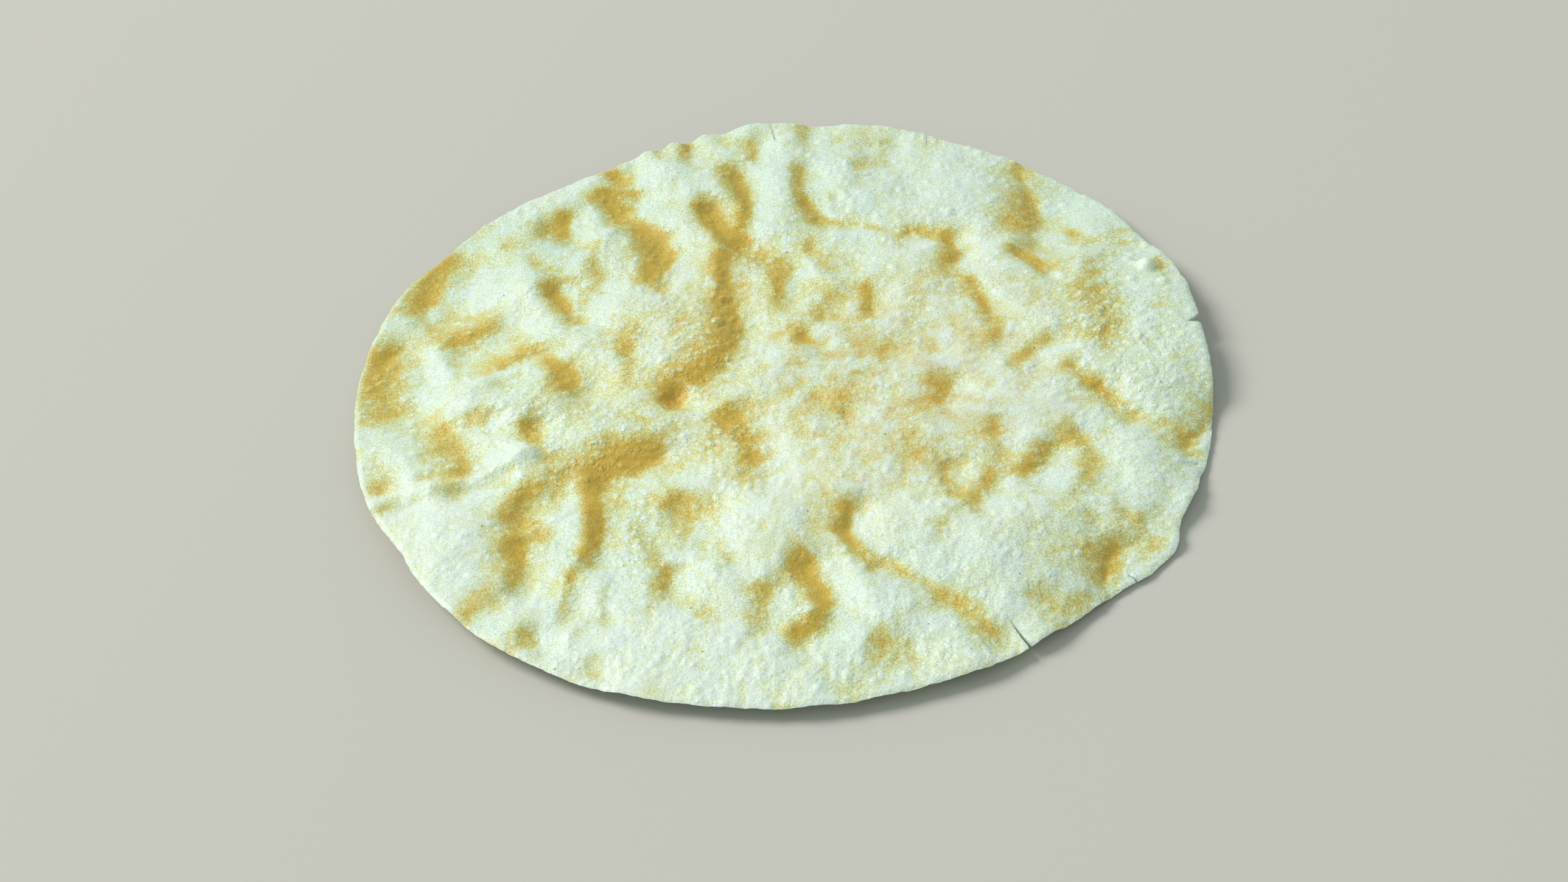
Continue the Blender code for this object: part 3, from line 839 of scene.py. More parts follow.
@dataclass
class Blisters:
    """The bubbles that rose in the hot oil, as domes over the sheet."""

    seed: int = SCATTER_SEED
    crowding: float = 0.75
    least_rise: float = 0.22
    most_rise: float = 0.42
    roundness: float = 0.8

    # The side of the squares in which neighbours are looked up, wider than two bubbles can overlap
    cell: float = 4.0

    def scatter(self, named: tuple[Blister, ...]) -> list[Blister]:
        """Draws the bubbles of every patch between the named ones, none deep inside another.

        Args:
            named: Bubbles whose places are given.

        Returns:
            The named bubbles and the scattered ones.
        """
        chance = np.random.default_rng(self.seed)
        made = list(named)
        taken: dict[tuple[int, int], list[Blister]] = {}
        for blister in made:
            taken.setdefault(self._square(blister.x, blister.y), []).append(blister)
        for patch in BLISTER_PATCHES:
            xs = chance.normal(patch.x, patch.spread_x, patch.count)
            ys = chance.normal(patch.y, patch.spread_y, patch.count)
            # Squared, so that small bubbles are the most common
            sizes = patch.smallest + (patch.largest - patch.smallest) * chance.random(patch.count) ** 2
            rises = chance.uniform(self.least_rise, self.most_rise, patch.count)
            for x, y, size, rise in zip(xs.tolist(), ys.tolist(), sizes.tolist(), rises.tolist()):
                column, row = self._square(x, y)
                near = (
                    other
                    for across in (-1, 0, 1)
                    for along in (-1, 0, 1)
                    for other in taken.get((column + across, row + along), ())
                )
                if any(
                    math.hypot(x - other.x, y - other.y) < self.crowding * (size + other.radius)
                    for other in near
                ):
                    continue
                blister = Blister(x, y, size, rise)
                made.append(blister)
                taken.setdefault((column, row), []).append(blister)
        return made

    def height(self, x: np.ndarray, y: np.ndarray, blisters: list[Blister]) -> np.ndarray:
        """Raises the domes.

        Args:
            x: Places along X in millimetres.
            y: Places along Y in millimetres.
            blisters: The bubbles.

        Returns:
            How far the bubbles stand over the sheet at each place.
        """
        tree = kdtree.KDTree(len(x))
        for index, (a, b) in enumerate(zip(x.tolist(), y.tolist())):
            tree.insert((a, b, 0.0), index)
        tree.balance()
        rise = np.zeros(len(x))
        for blister in blisters:
            for _, index, distance in tree.find_range((blister.x, blister.y, 0.0), blister.radius):
                dome = (1 - (distance / blister.radius) ** 2) ** self.roundness
                rise[index] = max(rise[index], blister.rise * blister.radius * dome)
        return rise

    def _square(self, x: float, y: float) -> tuple[int, int]:
        """The column and row of the square that a place lies in."""
        return int(x // self.cell), int(y // self.cell)


def linear(hex_colour: str) -> tuple[float, float, float, float]:
    """Turns a colour to the linear values that a shader takes.

    Args:
        hex_colour: An sRGB hex colour such as #c8a040.

    Returns:
        Red, green, blue and full opacity.
    """
    parts = (int(hex_colour[place : place + 2], 16) / 255 for place in (1, 3, 5))
    red, green, blue = (p / 12.92 if p <= 0.04045 else ((p + 0.055) / 1.055) ** 2.4 for p in parts)
    return red, green, blue, 1.0


def add_node(
    tree: bpy.types.NodeTree,
    kind: str,
    inputs: dict[int | str, object] | None = None,
    **settings: object,
) -> bpy.types.Node:
    """Adds a node with its settings and links.

    Args:
        tree: The material's node tree.
        kind: The node's Blender type.
        inputs: By socket name or number, either another node's output to link or a plain value.
        **settings: The node's own properties.

    Returns:
        The new node.
    """
    node = tree.nodes.new(kind)
    for name, value in settings.items():
        setattr(node, name, value)
    for socket, value in (inputs or {}).items():
        if isinstance(value, bpy.types.NodeSocket):
            tree.links.new(value, node.inputs[socket])
        else:
            node.inputs[socket].default_value = value
    return node


# Urad lentil dough, rolled thin, dried and puffed in hot oil. The eye sees whitish, matt froth with
# fine bubbles, and amber dough that lets light in where it stayed clear, with a faint oily gloss
@dataclass(frozen=True)
class FriedLentilDough:
    """Fried lentil dough: opaque froth over clear amber dough, with bubbles and browned flecks."""

    # The shades from froth to caramel are the dough's own colours, and the darker ones also stand in for
    # painted shade where the mesh marks it
    froth: str = "#e8f5ef"
    cream: str = "#e5f0d3"
    straw: str = "#e3e0a2"
    amber: str = "#e2cb70"
    caramel: str = "#e0bd54"
    toasted: str = "#d89c40"
    husk: str = "#6f5a34"
    thin_froth: str = "#d9e4e0"
    thick_froth: str = "#fdfdfb"

    # How far each shade lies from froth, at 0, to caramel, at 1
    cream_at: float = 0.25
    straw_at: float = 0.5
    amber_at: float = 0.78

    # The gloss of a little oil, how much light enters the dough, and how far its red, green and blue
    # travel there
    roughness: float = 0.42
    ior: float = 1.45
    light_share: float = 0.4
    light_depth_mm: tuple[float, float, float] = (1.4, 1.0, 0.5)

    # Bubbles of one to two millimetres and smaller ones between them: their spacing, and then their
    # form in parts of the spacing
    bubble_mm: float = 2.0
    foam_mm: float = 1.0
    least_bubble: float = 0.3
    bubble_variety: float = 0.3
    bubble_roundness: float = 1.2
    bubble_rise: float = 0.13
    # How much paler the bubbles' tops turn, partly froth and partly a painted highlight, and how tan the
    # crowded bubbles' gaps turn, a painted shade
    bubble_froth_and_highlight: float = 1.9
    bubble_gap_shade: float = 0.25

    # Real froth is finer than this grain, which is drawn as coarse as it needs to show
    grain_mm: float = 0.45
    grain_detail: float = 3.0
    grain_roughness: float = 0.6
    grain_middle: float = 0.5
    grain_bump_mm: float = 0.12
    grain_amber: float = 1.2
    edge_grain: float = 0.8
    most_grain: float = 0.26
    grain_thickness: float = 2.6

    # Small clear spots in the froth, and broad uneven patches
    spot_mm: float = 1.9
    spot_detail: float = 2.0
    spot_band: tuple[float, float] = (0.54, 0.7)
    spot_amber: tuple[float, float] = (0.0, 0.14)
    patch_mm: float = 7.0
    patch_detail: float = 4.0
    patch_band: tuple[float, float] = (0.35, 0.65)
    patch_amber: tuple[float, float] = (-0.1, 0.1)

    # Browned flecks, and a few bits of dark husk
    toast_amber: float = 0.45
    toast_share: float = 0.6
    husk_spacing_mm: float = 38.0
    husk_radius_mm: float = 0.22
    husk_share: float = 0.75

    def material(self) -> bpy.types.Material:
        """Makes the finish, which reads the dough's marks from the mesh, painted light and shade among
        them.

        Returns:
            The material.
        """
        material = bpy.data.materials.new("fried lentil dough")
        material.use_nodes = True
        tree = material.node_tree
        tree.nodes.clear()
        place = add_node(tree, "ShaderNodeTexCoord").outputs["Object"]
        marks = {
            mark: add_node(tree, "ShaderNodeAttribute", attribute_name=mark.value).outputs["Fac"]
            for mark in Mark
        }
        large = self._bubbles(tree, place, self.bubble_mm)
        small = self._bubbles(tree, place, self.foam_mm)
        domes = add_node(tree, MATH, {0: large, 1: small}, operation="ADD").outputs[0]
        bubbles = add_node(tree, MATH, {0: domes, 1: marks[Mark.BUBBLY]}, operation="MULTIPLY").outputs[0]
        grain = add_node(
            tree,
            "ShaderNodeTexNoise",
            {
                "Vector": place,
                "Scale": 1 / (self.grain_mm * MM),
                "Detail": self.grain_detail,
                "Roughness": self.grain_roughness,
            },
        ).outputs["Fac"]
        speckle = add_node(tree, MATH, {0: grain, 1: self.grain_middle}, operation="SUBTRACT").outputs[0]

        amber = self._amber(tree, place, marks, bubbles, speckle)
        colour = self._colour(tree, place, marks, amber, speckle)
        grained = add_node(
            tree, "ShaderNodeBump", {"Height": grain, "Distance": self.grain_bump_mm * MM}
        ).outputs["Normal"]
        relief = add_node(
            tree, "ShaderNodeBump", {"Height": bubbles, "Distance": MM, "Normal": grained}
        ).outputs["Normal"]
        shader = add_node(
            tree,
            "ShaderNodeBsdfPrincipled",
            {
                "Base Color": colour,
                "Roughness": self.roughness,
                "IOR": self.ior,
                "Normal": relief,
                "Subsurface Weight": self.light_share,
                "Subsurface Radius": self.light_depth_mm,
                "Subsurface Scale": MM,
            },
        ).outputs["BSDF"]
        add_node(tree, "ShaderNodeOutputMaterial", {"Surface": shader})
        return material

    def _bubbles(
        self, tree: bpy.types.NodeTree, place: bpy.types.NodeSocket, spacing_mm: float
    ) -> bpy.types.NodeSocket:
        """Separate domes of many sizes, with bare dough between the bubbles.

        Args:
            tree: The material's node tree.
            place: Where the pattern is read.
            spacing_mm: Distance between the bubbles' middles.

        Returns:
            The height of the domes in millimetres.
        """
        cells = add_node(tree, "ShaderNodeTexVoronoi", {"Vector": place, "Scale": 1 / (spacing_mm * MM)})
        chance = add_node(tree, "ShaderNodeSeparateColor", {0: cells.outputs["Color"]}).outputs[0]
        radius = add_node(
            tree, MATH, {0: chance, 1: self.bubble_variety, 2: self.least_bubble}, operation="MULTIPLY_ADD"
        ).outputs[0]
        reach = add_node(
            tree, MATH, {0: cells.outputs["Distance"], 1: radius}, operation="DIVIDE"
        ).outputs[0]
        fall = add_node(tree, MATH, {0: reach, 1: reach}, operation="MULTIPLY").outputs[0]
        dome = add_node(tree, MATH, {0: 1.0, 1: fall}, operation="SUBTRACT").outputs[0]
        for operation, term in (
            ("MAXIMUM", 0.0),
            ("POWER", self.bubble_roundness),
            ("MULTIPLY", self.bubble_rise * spacing_mm),
        ):
            dome = add_node(tree, MATH, {0: dome, 1: term}, operation=operation).outputs[0]
        return dome

    def _blotches(
        self,
        tree: bpy.types.NodeTree,
        place: bpy.types.NodeSocket,
        size_mm: float,
        detail: float,
        band: tuple[float, float],
        amber: tuple[float, float],
    ) -> bpy.types.NodeSocket:
        """Cloudy blotches that are clearer or whiter than the dough round them.

        Args:
            tree: The material's node tree.
            place: Where the pattern is read.
            size_mm: Distance between the blotches.
            detail: How ragged they are.
            band: The cloud's values where a blotch begins and where it is full.
            amber: What the blotch adds below and above the band.

        Returns:
            How much clearer the dough is.
        """
        cloud = add_node(
            tree, "ShaderNodeTexNoise", {"Vector": place, "Scale": 1 / (size_mm * MM), "Detail": detail}
        ).outputs["Fac"]
        ends = {"From Min": band[0], "From Max": band[1], "To Min": amber[0], "To Max": amber[1]}
        return add_node(tree, "ShaderNodeMapRange", {"Value": cloud, **ends}).outputs[0]

    def _amber(
        self,
        tree: bpy.types.NodeTree,
        place: bpy.types.NodeSocket,
        marks: dict[Mark, bpy.types.NodeSocket],
        bubbles: bpy.types.NodeSocket,
        speckle: bpy.types.NodeSocket,
    ) -> bpy.types.NodeSocket:
        """How far the dough is from froth, at 0, to caramel, at 1, with painted shade and painted
        highlights in it.

        Args:
            tree: The material's node tree.
            place: Where the patterns are read.
            marks: The dough's marks.
            bubbles: The height of the bubbles, whose tops turn paler, partly froth and partly a painted
                highlight.
            speckle: The froth's grain, which dithers the edge between froth and clear dough.

        Returns:
            The value.
        """
        clear = marks[Mark.CLEAR]
        spots = self._blotches(tree, place, self.spot_mm, self.spot_detail, self.spot_band, self.spot_amber)
        uneven = self._blotches(
            tree, place, self.patch_mm, self.patch_detail, self.patch_band, self.patch_amber
        )
        opaque = add_node(tree, MATH, {0: 1.0, 1: clear}, operation="SUBTRACT").outputs[0]
        edge = add_node(tree, MATH, {0: clear, 1: opaque}, operation="MULTIPLY").outputs[0]
        dither = add_node(
            tree, MATH, {0: edge, 1: self.edge_grain, 2: self.grain_amber}, operation="MULTIPLY_ADD"
        ).outputs[0]
        most = add_node(tree, MATH, {0: clear, 1: self.most_grain}, operation="ADD").outputs[0]
        amber = clear
        for operation, *terms in (
            ("MULTIPLY_ADD", speckle, dither),
            # Paler bubble tops, partly froth and partly a painted highlight, and tan gaps where bubbles
            # crowd, a painted shade
            ("MULTIPLY_ADD", bubbles, -self.bubble_froth_and_highlight),
            ("MULTIPLY_ADD", marks[Mark.BUBBLY], self.bubble_gap_shade),
            ("ADD", spots),
            ("MINIMUM", most),
            ("MULTIPLY_ADD", marks[Mark.TOAST_AND_SHADE], self.toast_amber),
            ("ADD", uneven),
        ):
            inputs = dict(enumerate((*terms, amber)))
            amber = add_node(tree, MATH, inputs, operation=operation).outputs[0]
        return amber

    def _colour(
        self,
        tree: bpy.types.NodeTree,
        place: bpy.types.NodeSocket,
        marks: dict[Mark, bpy.types.NodeSocket],
        amber: bpy.types.NodeSocket,
        speckle: bpy.types.NodeSocket,
    ) -> bpy.types.NodeSocket:
        """The dough's colour, browned in places, with a few bits of dark husk.

        Args:
            tree: The material's node tree.
            place: Where the husks are read.
            marks: The dough's marks.
            amber: How far the dough is from froth to caramel.
            speckle: The froth's grain.

        Returns:
            The colour.
        """
        shades = add_node(tree, "ShaderNodeValToRGB", {"Fac": amber})
        ramp = shades.color_ramp
        ramp.elements[0].color = linear(self.froth)
        ramp.elements[1].color = linear(self.caramel)
        for position, shade in (
            (self.cream_at, self.cream),
            (self.straw_at, self.straw),
            (self.amber_at, self.amber),
        ):
            ramp.elements.new(position).color = linear(shade)
        # Browning, and painted shade in the T-shaped pit
        browned = add_node(
            tree, MATH, {0: marks[Mark.TOAST_AND_SHADE], 1: self.toast_share}, operation="MULTIPLY"
        ).outputs[0]

        husks = add_node(
            tree,
            "ShaderNodeTexVoronoi",
            {"Vector": place, "Scale": 1 / (self.husk_spacing_mm * MM)},
            voronoi_dimensions="2D",
        ).outputs["Distance"]
        for operation, term in (
            ("LESS_THAN", self.husk_radius_mm / self.husk_spacing_mm),
            ("MULTIPLY", self.husk_share),
        ):
            husks = add_node(tree, MATH, {0: husks, 1: term}, operation=operation).outputs[0]

        # Thin froth is a little grey, and thick froth scatters nearly all the light; the mark that sets it
        # also carries painted light and shade, on blister tops and in broad patches
        thickness = add_node(
            tree,
            MATH,
            {0: speckle, 1: -self.grain_thickness, 2: marks[Mark.WHITE]},
            operation="MULTIPLY_ADD",
        ).outputs[0]
        thins, thick = linear(self.thin_froth), linear(self.thick_froth)
        froth = add_node(tree, MIX, {0: thickness, 6: thins, 7: thick}, data_type="RGBA").outputs[2]
        colour = shades.outputs["Color"]
        for share, over, blend in (
            (browned, linear(self.toasted), "MIX"),
            (husks, linear(self.husk), "MIX"),
            (1.0, froth, "MULTIPLY"),
        ):
            colour = add_node(
                tree, MIX, {0: share, 6: colour, 7: over}, data_type="RGBA", blend_type=blend
            ).outputs[2]
        return colour


@dataclass
class FriedRound:
    """The papadum: a closed sheet of dough with its relief, its ragged rim and its cracks."""

    form: SheetForm = field(default_factory=SheetForm)
    blisters: Blisters = field(default_factory=Blisters)
    finish: FriedLentilDough = FriedLentilDough()
    top_cells: int = 272
    underside_cells: int = 136
    smooth_angle: float = 60.0

    # The sheet, and how its rim thins and frays
    thickness: float = 1.6
    rim_thickness: float = 0.9
    rim_band: float = 3.0
    rim_pull: int = 4
    rim_serration: float = 0.16
    serration_pitch: float = 1.3
    serration_circle: float = 90.0
    underside_inset: float = 0.35
    underside_crumb: float = 0.5
    crumb_layers: tuple[tuple[float, float], ...] = ((7.0, 0.26), (3.6, 0.2), (1.9, 0.12))

    # How far the relief may stand over the solid's top
    headroom: float = 0.2

    # How amber the dough is: painted shade where it leans away from the key light, a tone by its place,
    # painted shade in hollows and in the crumb's low places, and paler blister tops, partly froth and
    # partly a painted highlight
    toward_key_light: tuple[float, float, float] = (-0.74, 0.36, 0.56)
    painted_lee_shade: float = 0.42
    most_painted_lee_shade: float = 0.2
    middle_clear: float = 0.31
    rim_clear: float = 0.1
    pale_from: float = 58.0
    pale_fade: float = 8.0
    hollow_reach: float = 3.0
    hollow_depth: float = 0.5
    hollow_shade: float = 0.14
    crumb_shade: float = 0.75
    blister_froth_and_highlight: float = 0.5
    plain_white: float = 0.66

    # The browned flecks: their mean, the pitch and size of their noise, their limits and strength
    fleck_mean: float = 0.5
    fleck_pitch: float = 5.0
    fine_fleck_pitch: float = 2.4
    fine_flecks: float = 0.6
    fleck_limits: tuple[float, float] = (0.05, 1.1)
    toast_strength: float = 0.55

    # Where small bubbles crowd
    least_bubbly: float = 0.4
    crowded: float = 2.5
    crowd_spread: float = 1.3
    crowd_unevenness: float = 0.3
    crowd_pitch: float = 12.0

    def build(self) -> bpy.types.Object:
        """Makes the whole piece, dressed.

        Returns:
            The piece.
        """
        top = self._face(Side.TOP)
        underside = self._face(Side.UNDERSIDE)
        piece = self._join_rims(top, underside)
        self._cut_cracks(piece)
        self._finish(piece)
        return piece

    def _face(self, side: Side) -> bpy.types.Object:
        """One face of the round: a square grid drawn out to rings and raised to the sheet's form.

        Args:
            side: Which face.

        Returns:
            The face as an open mesh, with the dough's marks.
        """
        cells = self.top_cells if side is Side.TOP else self.underside_cells
        bpy.ops.object.select_all(action="DESELECT")
        bpy.ops.mesh.primitive_grid_add(x_subdivisions=cells, y_subdivisions=cells, size=2.0)
        face = bpy.context.object
        face.name = side.value
        square = points_of(face)
        x, y = self._square_to_round(square[:, 0], square[:, 1])
        ring = np.hypot(x, y)
        outline = self._outline(x, y, side)
        scale = self.form.radius + (outline - self.form.radius) * ring**self.rim_pull
        x, y = x * scale, y * scale
        sheet, walls = self.form.shape(x, y)
        crumb = sum(size * noise_layer(x, y, pitch, Pattern.CRUMB) for pitch, size in self.crumb_layers)
        drawn = self.form.drawn_place(x, y, sheet)
        rise = np.zeros(len(x))
        if side is Side.TOP:
            rise = self.blisters.height(*drawn.T, self.blisters.scatter(BIG_BLISTERS))
            edge = ring > 1 - 1 / cells
            height = sheet + crumb + rise
            height = np.where(edge, height - self.rim_thickness / 2, height)
        else:
            inward = np.maximum(outline - np.hypot(x, y), 0)
            thin = self.thickness - (self.thickness - self.rim_thickness) * bell(inward, self.rim_band)
            height = sheet - thin + self.underside_crumb * crumb
        # The walls' amber is partly clear dough and partly painted shade on their lee sides
        clear = self._dough_tone_and_lee_shade(face, x, y, sheet, side) + walls
        # Painted shade: hollows and the low places of the crumb turn amber, and the crumb's high places
        # paler
        clear += self.hollow_shade * self._hollows(sheet + crumb, cells) - self.crumb_shade * crumb
        # Blister tops turn paler: partly the froth's own whiteness, partly a painted highlight
        clear -= self.blister_froth_and_highlight * rise
        white_and_light = self.plain_white + self.blister_froth_and_highlight * rise
        # The broad patches carry partly uneven froth and partly painted light and shade
        for patch in FROTH_AND_LIGHT_PATCHES:
            near = bell(drawn[:, 0] - patch.x, patch.spread_x) * bell(drawn[:, 1] - patch.y, patch.spread_y)
            clear += patch.clear * near
            white_and_light += patch.white_and_light * near
        z = np.maximum(height + SHIFT.z, 0.0)
        z = np.minimum(z, CAD_BOX[1].z / MM + self.headroom)
        places = np.stack((x + SHIFT.x, y + SHIFT.y, z), 1) * MM
        face.data.vertices.foreach_set("co", places.ravel())
        face.data.update()
        self._mark(face, Mark.CLEAR, np.clip(clear, 0.0, 1.0))
        self._mark(face, Mark.TOAST_AND_SHADE, self._toast_and_shade(*drawn.T))
        self._mark(face, Mark.BUBBLY, self._bubbly(*drawn.T))
        self._mark(face, Mark.WHITE, np.clip(white_and_light, 0.0, 1.0))
        if side is Side.UNDERSIDE:
            active_only(face)
            bpy.ops.object.mode_set(mode="EDIT")
            bpy.ops.mesh.select_all(action="SELECT")
            bpy.ops.mesh.flip_normals()
            bpy.ops.object.mode_set(mode="OBJECT")
        return face

    def _outline(self, x: np.ndarray, y: np.ndarray, side: Side) -> np.ndarray:
        """The rim's distance in the direction of each place, with its fine serration.

        Args:
            x: Places along X.
            y: Places along Y.
            side: Which face. The underside ends a little further in.

        Returns:
            The distances in millimetres.
        """
        angles = np.degrees(np.arctan2(y, x))
        turn = np.radians(angles)
        outline = self.form.rim_radius(angles) + self.rim_serration * noise_layer(
            self.serration_circle * np.cos(turn), self.serration_circle * np.sin(turn), self.serration_pitch
        )
        return outline - self.underside_inset if side is Side.UNDERSIDE else outline

    def _dough_tone_and_lee_shade(
        self, face: bpy.types.Object, x: np.ndarray, y: np.ndarray, sheet: np.ndarray, side: Side
    ) -> np.ndarray:
        """How amber the dough is: a tone that deepens from the rim to the middle, and painted shade on the
        slopes that lean away from the key light.

        Args:
            face: The face, which takes the sheet's form to find how it leans.
            x: Places along X in millimetres.
            y: Places along Y in millimetres.
            sheet: The sheet's height at each place.
            side: Which face.

        Returns:
            How amber the dough is at each place.
        """
        face.data.vertices.foreach_set("co", np.stack((x, y, sheet), 1).ravel())
        face.data.update()
        normals = np.empty(len(x) * 3)
        face.data.vertex_normals.foreach_get("vector", normals)
        wind = np.array(Vector(self.toward_key_light).normalized())
        facing = normals.reshape(-1, 3) @ wind / wind[2]
        if side is Side.UNDERSIDE:
            facing = 2 - facing
        middle = 1 / (1 + np.exp((np.hypot(x, y) - self.pale_from) / self.pale_fade))
        froth = self.rim_clear + (self.middle_clear - self.rim_clear) * middle
        # Painted shade: slopes that face away from the key light turn amber, and slopes that face it turn
        # paler
        return froth + np.clip((1 - facing) * self.painted_lee_shade, -self.most_painted_lee_shade, self.most_painted_lee_shade)

    def _square_to_round(self, u: np.ndarray, v: np.ndarray) -> tuple[np.ndarray, np.ndarray]:
        """Moves the points of a square grid of half side 1 to rings round the middle.

        Args:
            u: Places along X in the square.
            v: Places along Y in the square.

        Returns:
            Places along X and along Y in a circle of radius 1.
        """
        radius = np.maximum(np.abs(u), np.abs(v))
        flat = np.abs(u) >= np.abs(v)
        quarter = np.pi / 4
        with np.errstate(divide="ignore", invalid="ignore"):
            turn = np.where(flat, quarter * v / u, 2 * quarter - quarter * u / v)
        turn = np.where(radius > 0, turn, 0)
        facing = np.where(flat, np.sign(u), np.sign(v))
        return facing * radius * np.cos(turn), facing * radius * np.sin(turn)

    def _mark(self, face: bpy.types.Object, mark: Mark, values: np.ndarray) -> None:
        """Stores one value for each point, for the material to read."""
        layer = face.data.attributes.new(mark.value, "FLOAT", "POINT")
        layer.data.foreach_set("value", values.astype(np.float32))

    def _hollows(self, sheet: np.ndarray, cells: int) -> np.ndarray:
        """How far each place lies under its neighbourhood, or over it where below zero, up to 1.

        Args:
            sheet: The height at each point of the grid.
            cells: How many cells the grid has along each side.

        Returns:
            One value for each point.
        """
        grid = sheet.reshape(cells + 1, cells + 1)
        reach = round(self.hollow_reach * cells / (2 * self.form.radius))
        steps = np.arange(-2 * reach, 2 * reach + 1)
        weights = bell(steps, reach)
        weights /= weights.sum()
        wide = np.pad(grid, 2 * reach, mode="edge")
        wide = np.apply_along_axis(np.convolve, 0, wide, weights, mode="valid")
        wide = np.apply_along_axis(np.convolve, 1, wide, weights, mode="valid")
        depth = (wide - grid).ravel()
        return np.clip(depth / self.hollow_depth, -1.0, 1.0)

    def _toast_and_shade(self, x: np.ndarray, y: np.ndarray) -> np.ndarray:
        """How browned each place is, with painted shade in the T-shaped pit: soft flecks inside the
        patches.

        Args:
            x: Drawn places along X in millimetres.
            y: Drawn places along Y in millimetres.

        Returns:
            A value from 0 to 1 for each place.
        """
        warmth = np.zeros(len(x))
        for patch in TOAST_AND_SHADE_PATCHES:
            near = patch.strength * bell(x - patch.x, patch.spread_x) * bell(y - patch.y, patch.spread_y)
            warmth = np.maximum(warmth, near)
        flecks = self.fleck_mean + noise_layer(x, y, self.fleck_pitch, Pattern.FLECKS)
        flecks = flecks + self.fine_flecks * noise_layer(x, y, self.fine_fleck_pitch, Pattern.FINE_FLECKS)
        return np.clip(warmth * np.clip(flecks, *self.fleck_limits), 0.0, 1.0) * self.toast_strength

    def _bubbly(self, x: np.ndarray, y: np.ndarray) -> np.ndarray:
        """How much the small bubbles stand out: most where the large ones crowd.

        Args:
            x: Drawn places along X in millimetres.
            y: Drawn places along Y in millimetres.

        Returns:
            A value from 0 to 1 for each place.
        """
        crowd = np.full(len(x), self.least_bubbly)
        for patch in BLISTER_PATCHES[1:]:
            density = min(1.0, patch.count / (patch.spread_x * patch.spread_y * self.crowded))
            near = bell(x - patch.x, self.crowd_spread * patch.spread_x)
            near = near * bell(y - patch.y, self.crowd_spread * patch.spread_y)
            crowd = np.maximum(crowd, density * near)
        uneven = self.crowd_unevenness * noise_layer(x, y, self.crowd_pitch, Pattern.CROWDING)
        return np.clip(crowd + uneven, 0.0, 1.0)

    def _join_rims(self, top: bpy.types.Object, underside: bpy.types.Object) -> bpy.types.Object:
        """Joins the two faces to one closed mesh, with a narrow wall round the rim.

        Args:
            top: The upper face.
            underside: The lower face, which becomes part of the upper one's object.

        Returns:
            The closed piece.
        """
        active_only(top)
        underside.select_set(True)
        bpy.ops.object.join()
        top.name = "fried_round"
        top.data.name = "fried_round"
        bpy.ops.object.mode_set(mode="EDIT")
        bpy.ops.mesh.select_mode(type="EDGE")
        bpy.ops.mesh.select_all(action="DESELECT")
        bpy.ops.mesh.select_non_manifold()
        bpy.ops.mesh.bridge_edge_loops()
        bpy.ops.object.mode_set(mode="OBJECT")
        return top

    def _cut_cracks(self, piece: bpy.types.Object) -> None:
        """Cuts each crack with a three-sided wedge that stands at its tip.

        Args:
            piece: The closed piece.
        """
        for crack in CRACKS:
            cutter = self._wedge(crack)
            cut = piece.modifiers.new(crack.name, "BOOLEAN")
            cut.object = cutter
            cut.operation = "DIFFERENCE"
            cut.solver = "MANIFOLD"
            active_only(piece)
            bpy.ops.object.modifier_apply(modifier=crack.name)
            bpy.data.objects.remove(cutter)

    def _wedge(self, crack: Crack, overshoot: float = 4.0, height: float = 40.0) -> bpy.types.Object:
        """The wedge of a crack.

        Args:
            crack: The crack to cut.
            overshoot: How far the wedge reaches past the crack's mouth.
            height: How tall the wedge stands.

        Returns:
            The wedge, in its place.
        """
        tip = Vector(crack.tip)
        inward = tip - Vector(crack.mouth)
        length = inward.length + overshoot
        width = crack.gap * length / inward.length
        bpy.ops.object.select_all(action="DESELECT")
        bpy.ops.mesh.primitive_cone_add(vertices=3, radius1=1.0, radius2=1.0, depth=height)
        wedge = bpy.context.object
        wedge.name = f"{crack.name}_wedge"
        points = points_of(wedge)
        points[:, 1] -= points[:, 1].max()
        points *= (width / TRIANGLE_SIDE, length / TRIANGLE_DEPTH, 1.0)
        turned = Matrix.Rotation(math.atan2(-inward.x, inward.y), 3, "Z")
        points = points @ np.array(turned).T + (tip.x + SHIFT.x, tip.y + SHIFT.y, 0.0)
        wedge.data.vertices.foreach_set("co", (points * MM).ravel())
        wedge.data.update()
        return wedge

    def _finish(self, piece: bpy.types.Object) -> None:
        """Gives the piece its material and its smooth shading.

        Args:
            piece: The closed piece.
        """
        piece.data.materials.clear()
        piece.data.materials.append(self.finish.material())
        active_only(piece)
        bpy.ops.object.shade_smooth_by_angle(angle=math.radians(self.smooth_angle))


# Fibreboard painted with matt emulsion. The eye sees a plain, pale, slightly warm grey with no shine
@dataclass(frozen=True)
class PaleFloor:
    """Matt painted board, a plain pale ground."""

    colour: str = "#c9c6bf"
    roughness: float = 0.9

    def material(self) -> bpy.types.Material:
        """Makes the finish, even and matt.

        Returns:
            The material.
        """
        material = bpy.data.materials.new("matt painted board")
        material.use_nodes = True
        shader = material.node_tree.nodes["Principled BSDF"]
        shader.inputs["Base Color"].default_value = linear(self.colour)
        shader.inputs["Roughness"].default_value = self.roughness
        return material


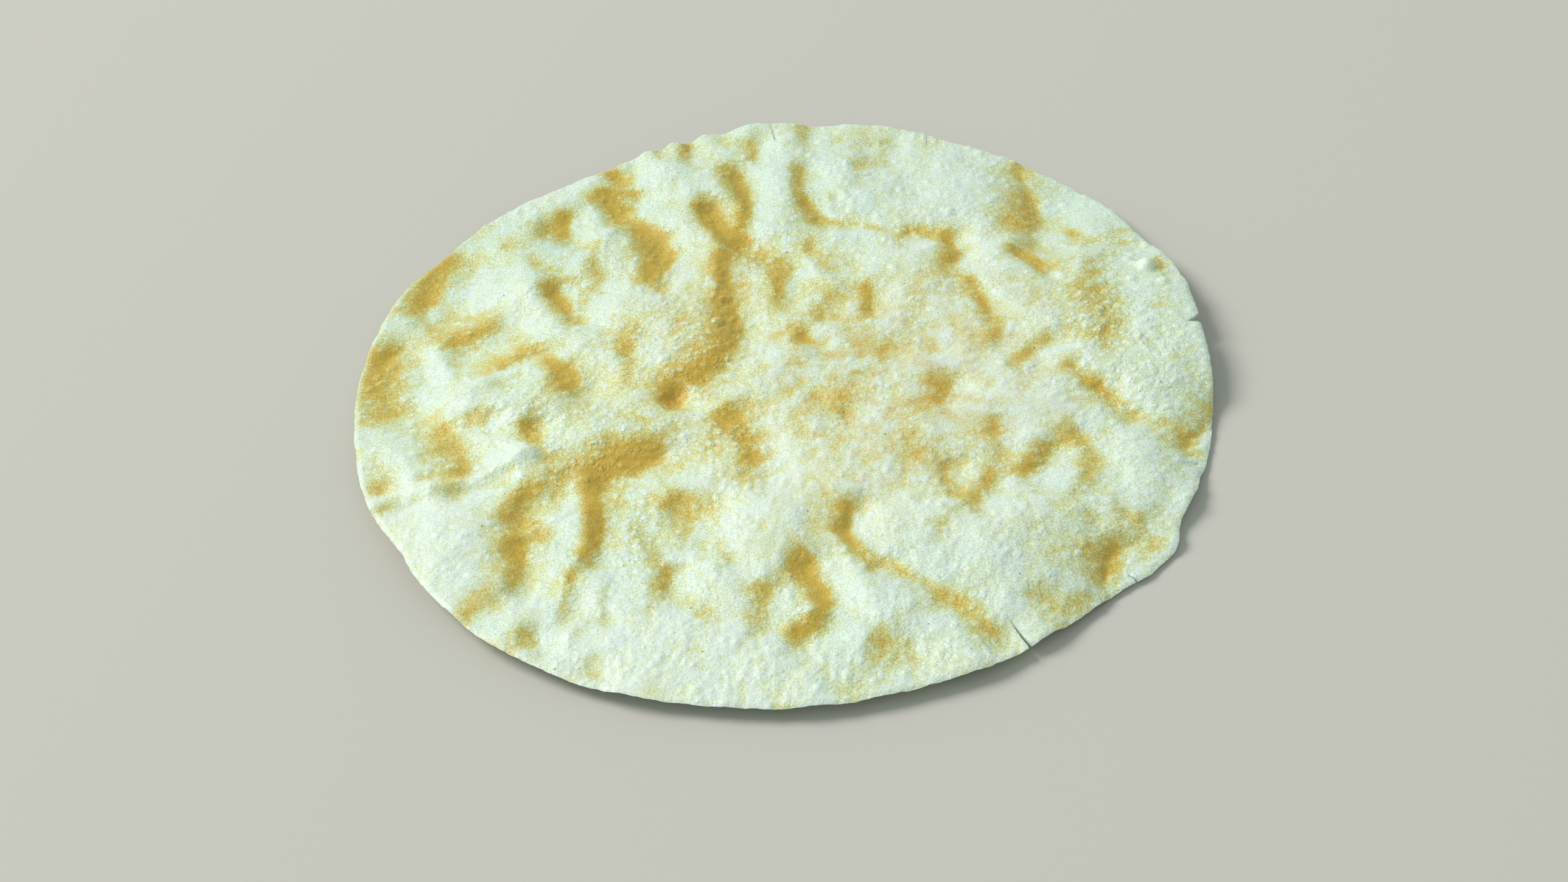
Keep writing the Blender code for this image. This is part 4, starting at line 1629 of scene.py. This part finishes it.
@dataclass
class Studio:
    """The floor, the lights and the camera, in metres and degrees."""

    floor_size: float = 3.0
    key_direction: tuple[float, float, float] = (-0.74, 0.36, 0.75)
    key_distance: float = 5.0
    key_size: float = 2.6
    key_power: float = 200.0
    key_colour: str = "#fffaf6"
    fill_colour: str = "#f1fffa"
    fill_strength: float = 0.51
    aim: tuple[float, float, float] = (0.00011, -0.02145, 0.0041)
    camera_distance: float = 0.5525
    elevation: float = 43.15
    roll: float = -6.11
    lens: float = 55.9

    def build(self) -> None:
        """Makes the floor, the lights and the camera."""
        self._floor()
        self._lights()
        self._camera()

    def _floor(self) -> None:
        """A plain pale floor under the round."""
        bpy.ops.object.select_all(action="DESELECT")
        bpy.ops.mesh.primitive_plane_add(size=self.floor_size)
        floor = bpy.context.object
        floor.name = "floor"
        floor.data.materials.append(PaleFloor().material())

    def _lights(self) -> None:
        """A soft key from the far left and an even, slightly cool fill."""
        direction = Vector(self.key_direction).normalized()
        key = bpy.data.lights.new("key", "AREA")
        key.shape = "DISK"
        key.size = self.key_size
        key.energy = self.key_power
        key.color = linear(self.key_colour)[:3]
        lamp = bpy.data.objects.new("key", key)
        lamp.location = direction * self.key_distance
        lamp.rotation_euler = (-direction).to_track_quat("-Z", "Y").to_euler()
        bpy.context.collection.objects.link(lamp)
        world = bpy.data.worlds.new("fill")
        world.use_nodes = True
        background = world.node_tree.nodes["Background"]
        background.inputs["Color"].default_value = linear(self.fill_colour)
        background.inputs["Strength"].default_value = self.fill_strength
        bpy.context.scene.world = world

    def _camera(self) -> None:
        """The camera, at the near side and looking down on the round."""
        camera = bpy.data.cameras.new("camera")
        camera.lens = self.lens
        stand = bpy.data.objects.new("camera", camera)
        turn = Euler((math.radians(90 - self.elevation), 0, 0)).to_matrix()
        turn = turn @ Matrix.Rotation(math.radians(self.roll), 3, "Z")
        stand.rotation_euler = turn.to_euler()
        stand.location = Vector(self.aim) + turn @ Vector((0, 0, self.camera_distance))
        bpy.context.collection.objects.link(stand)
        bpy.context.scene.camera = stand
        bpy.context.scene.view_settings.view_transform = "Standard"


def main() -> None:
    """Builds the round and the studio."""
    piece = FriedRound().build()
    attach(piece, "root")
    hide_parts("papadum")
    log.info("%s: %d points, %d faces", piece.name, len(piece.data.vertices), len(piece.data.polygons))
    Studio().build()


if __name__ == "__main__":
    logging.basicConfig(level=logging.INFO)
    main()
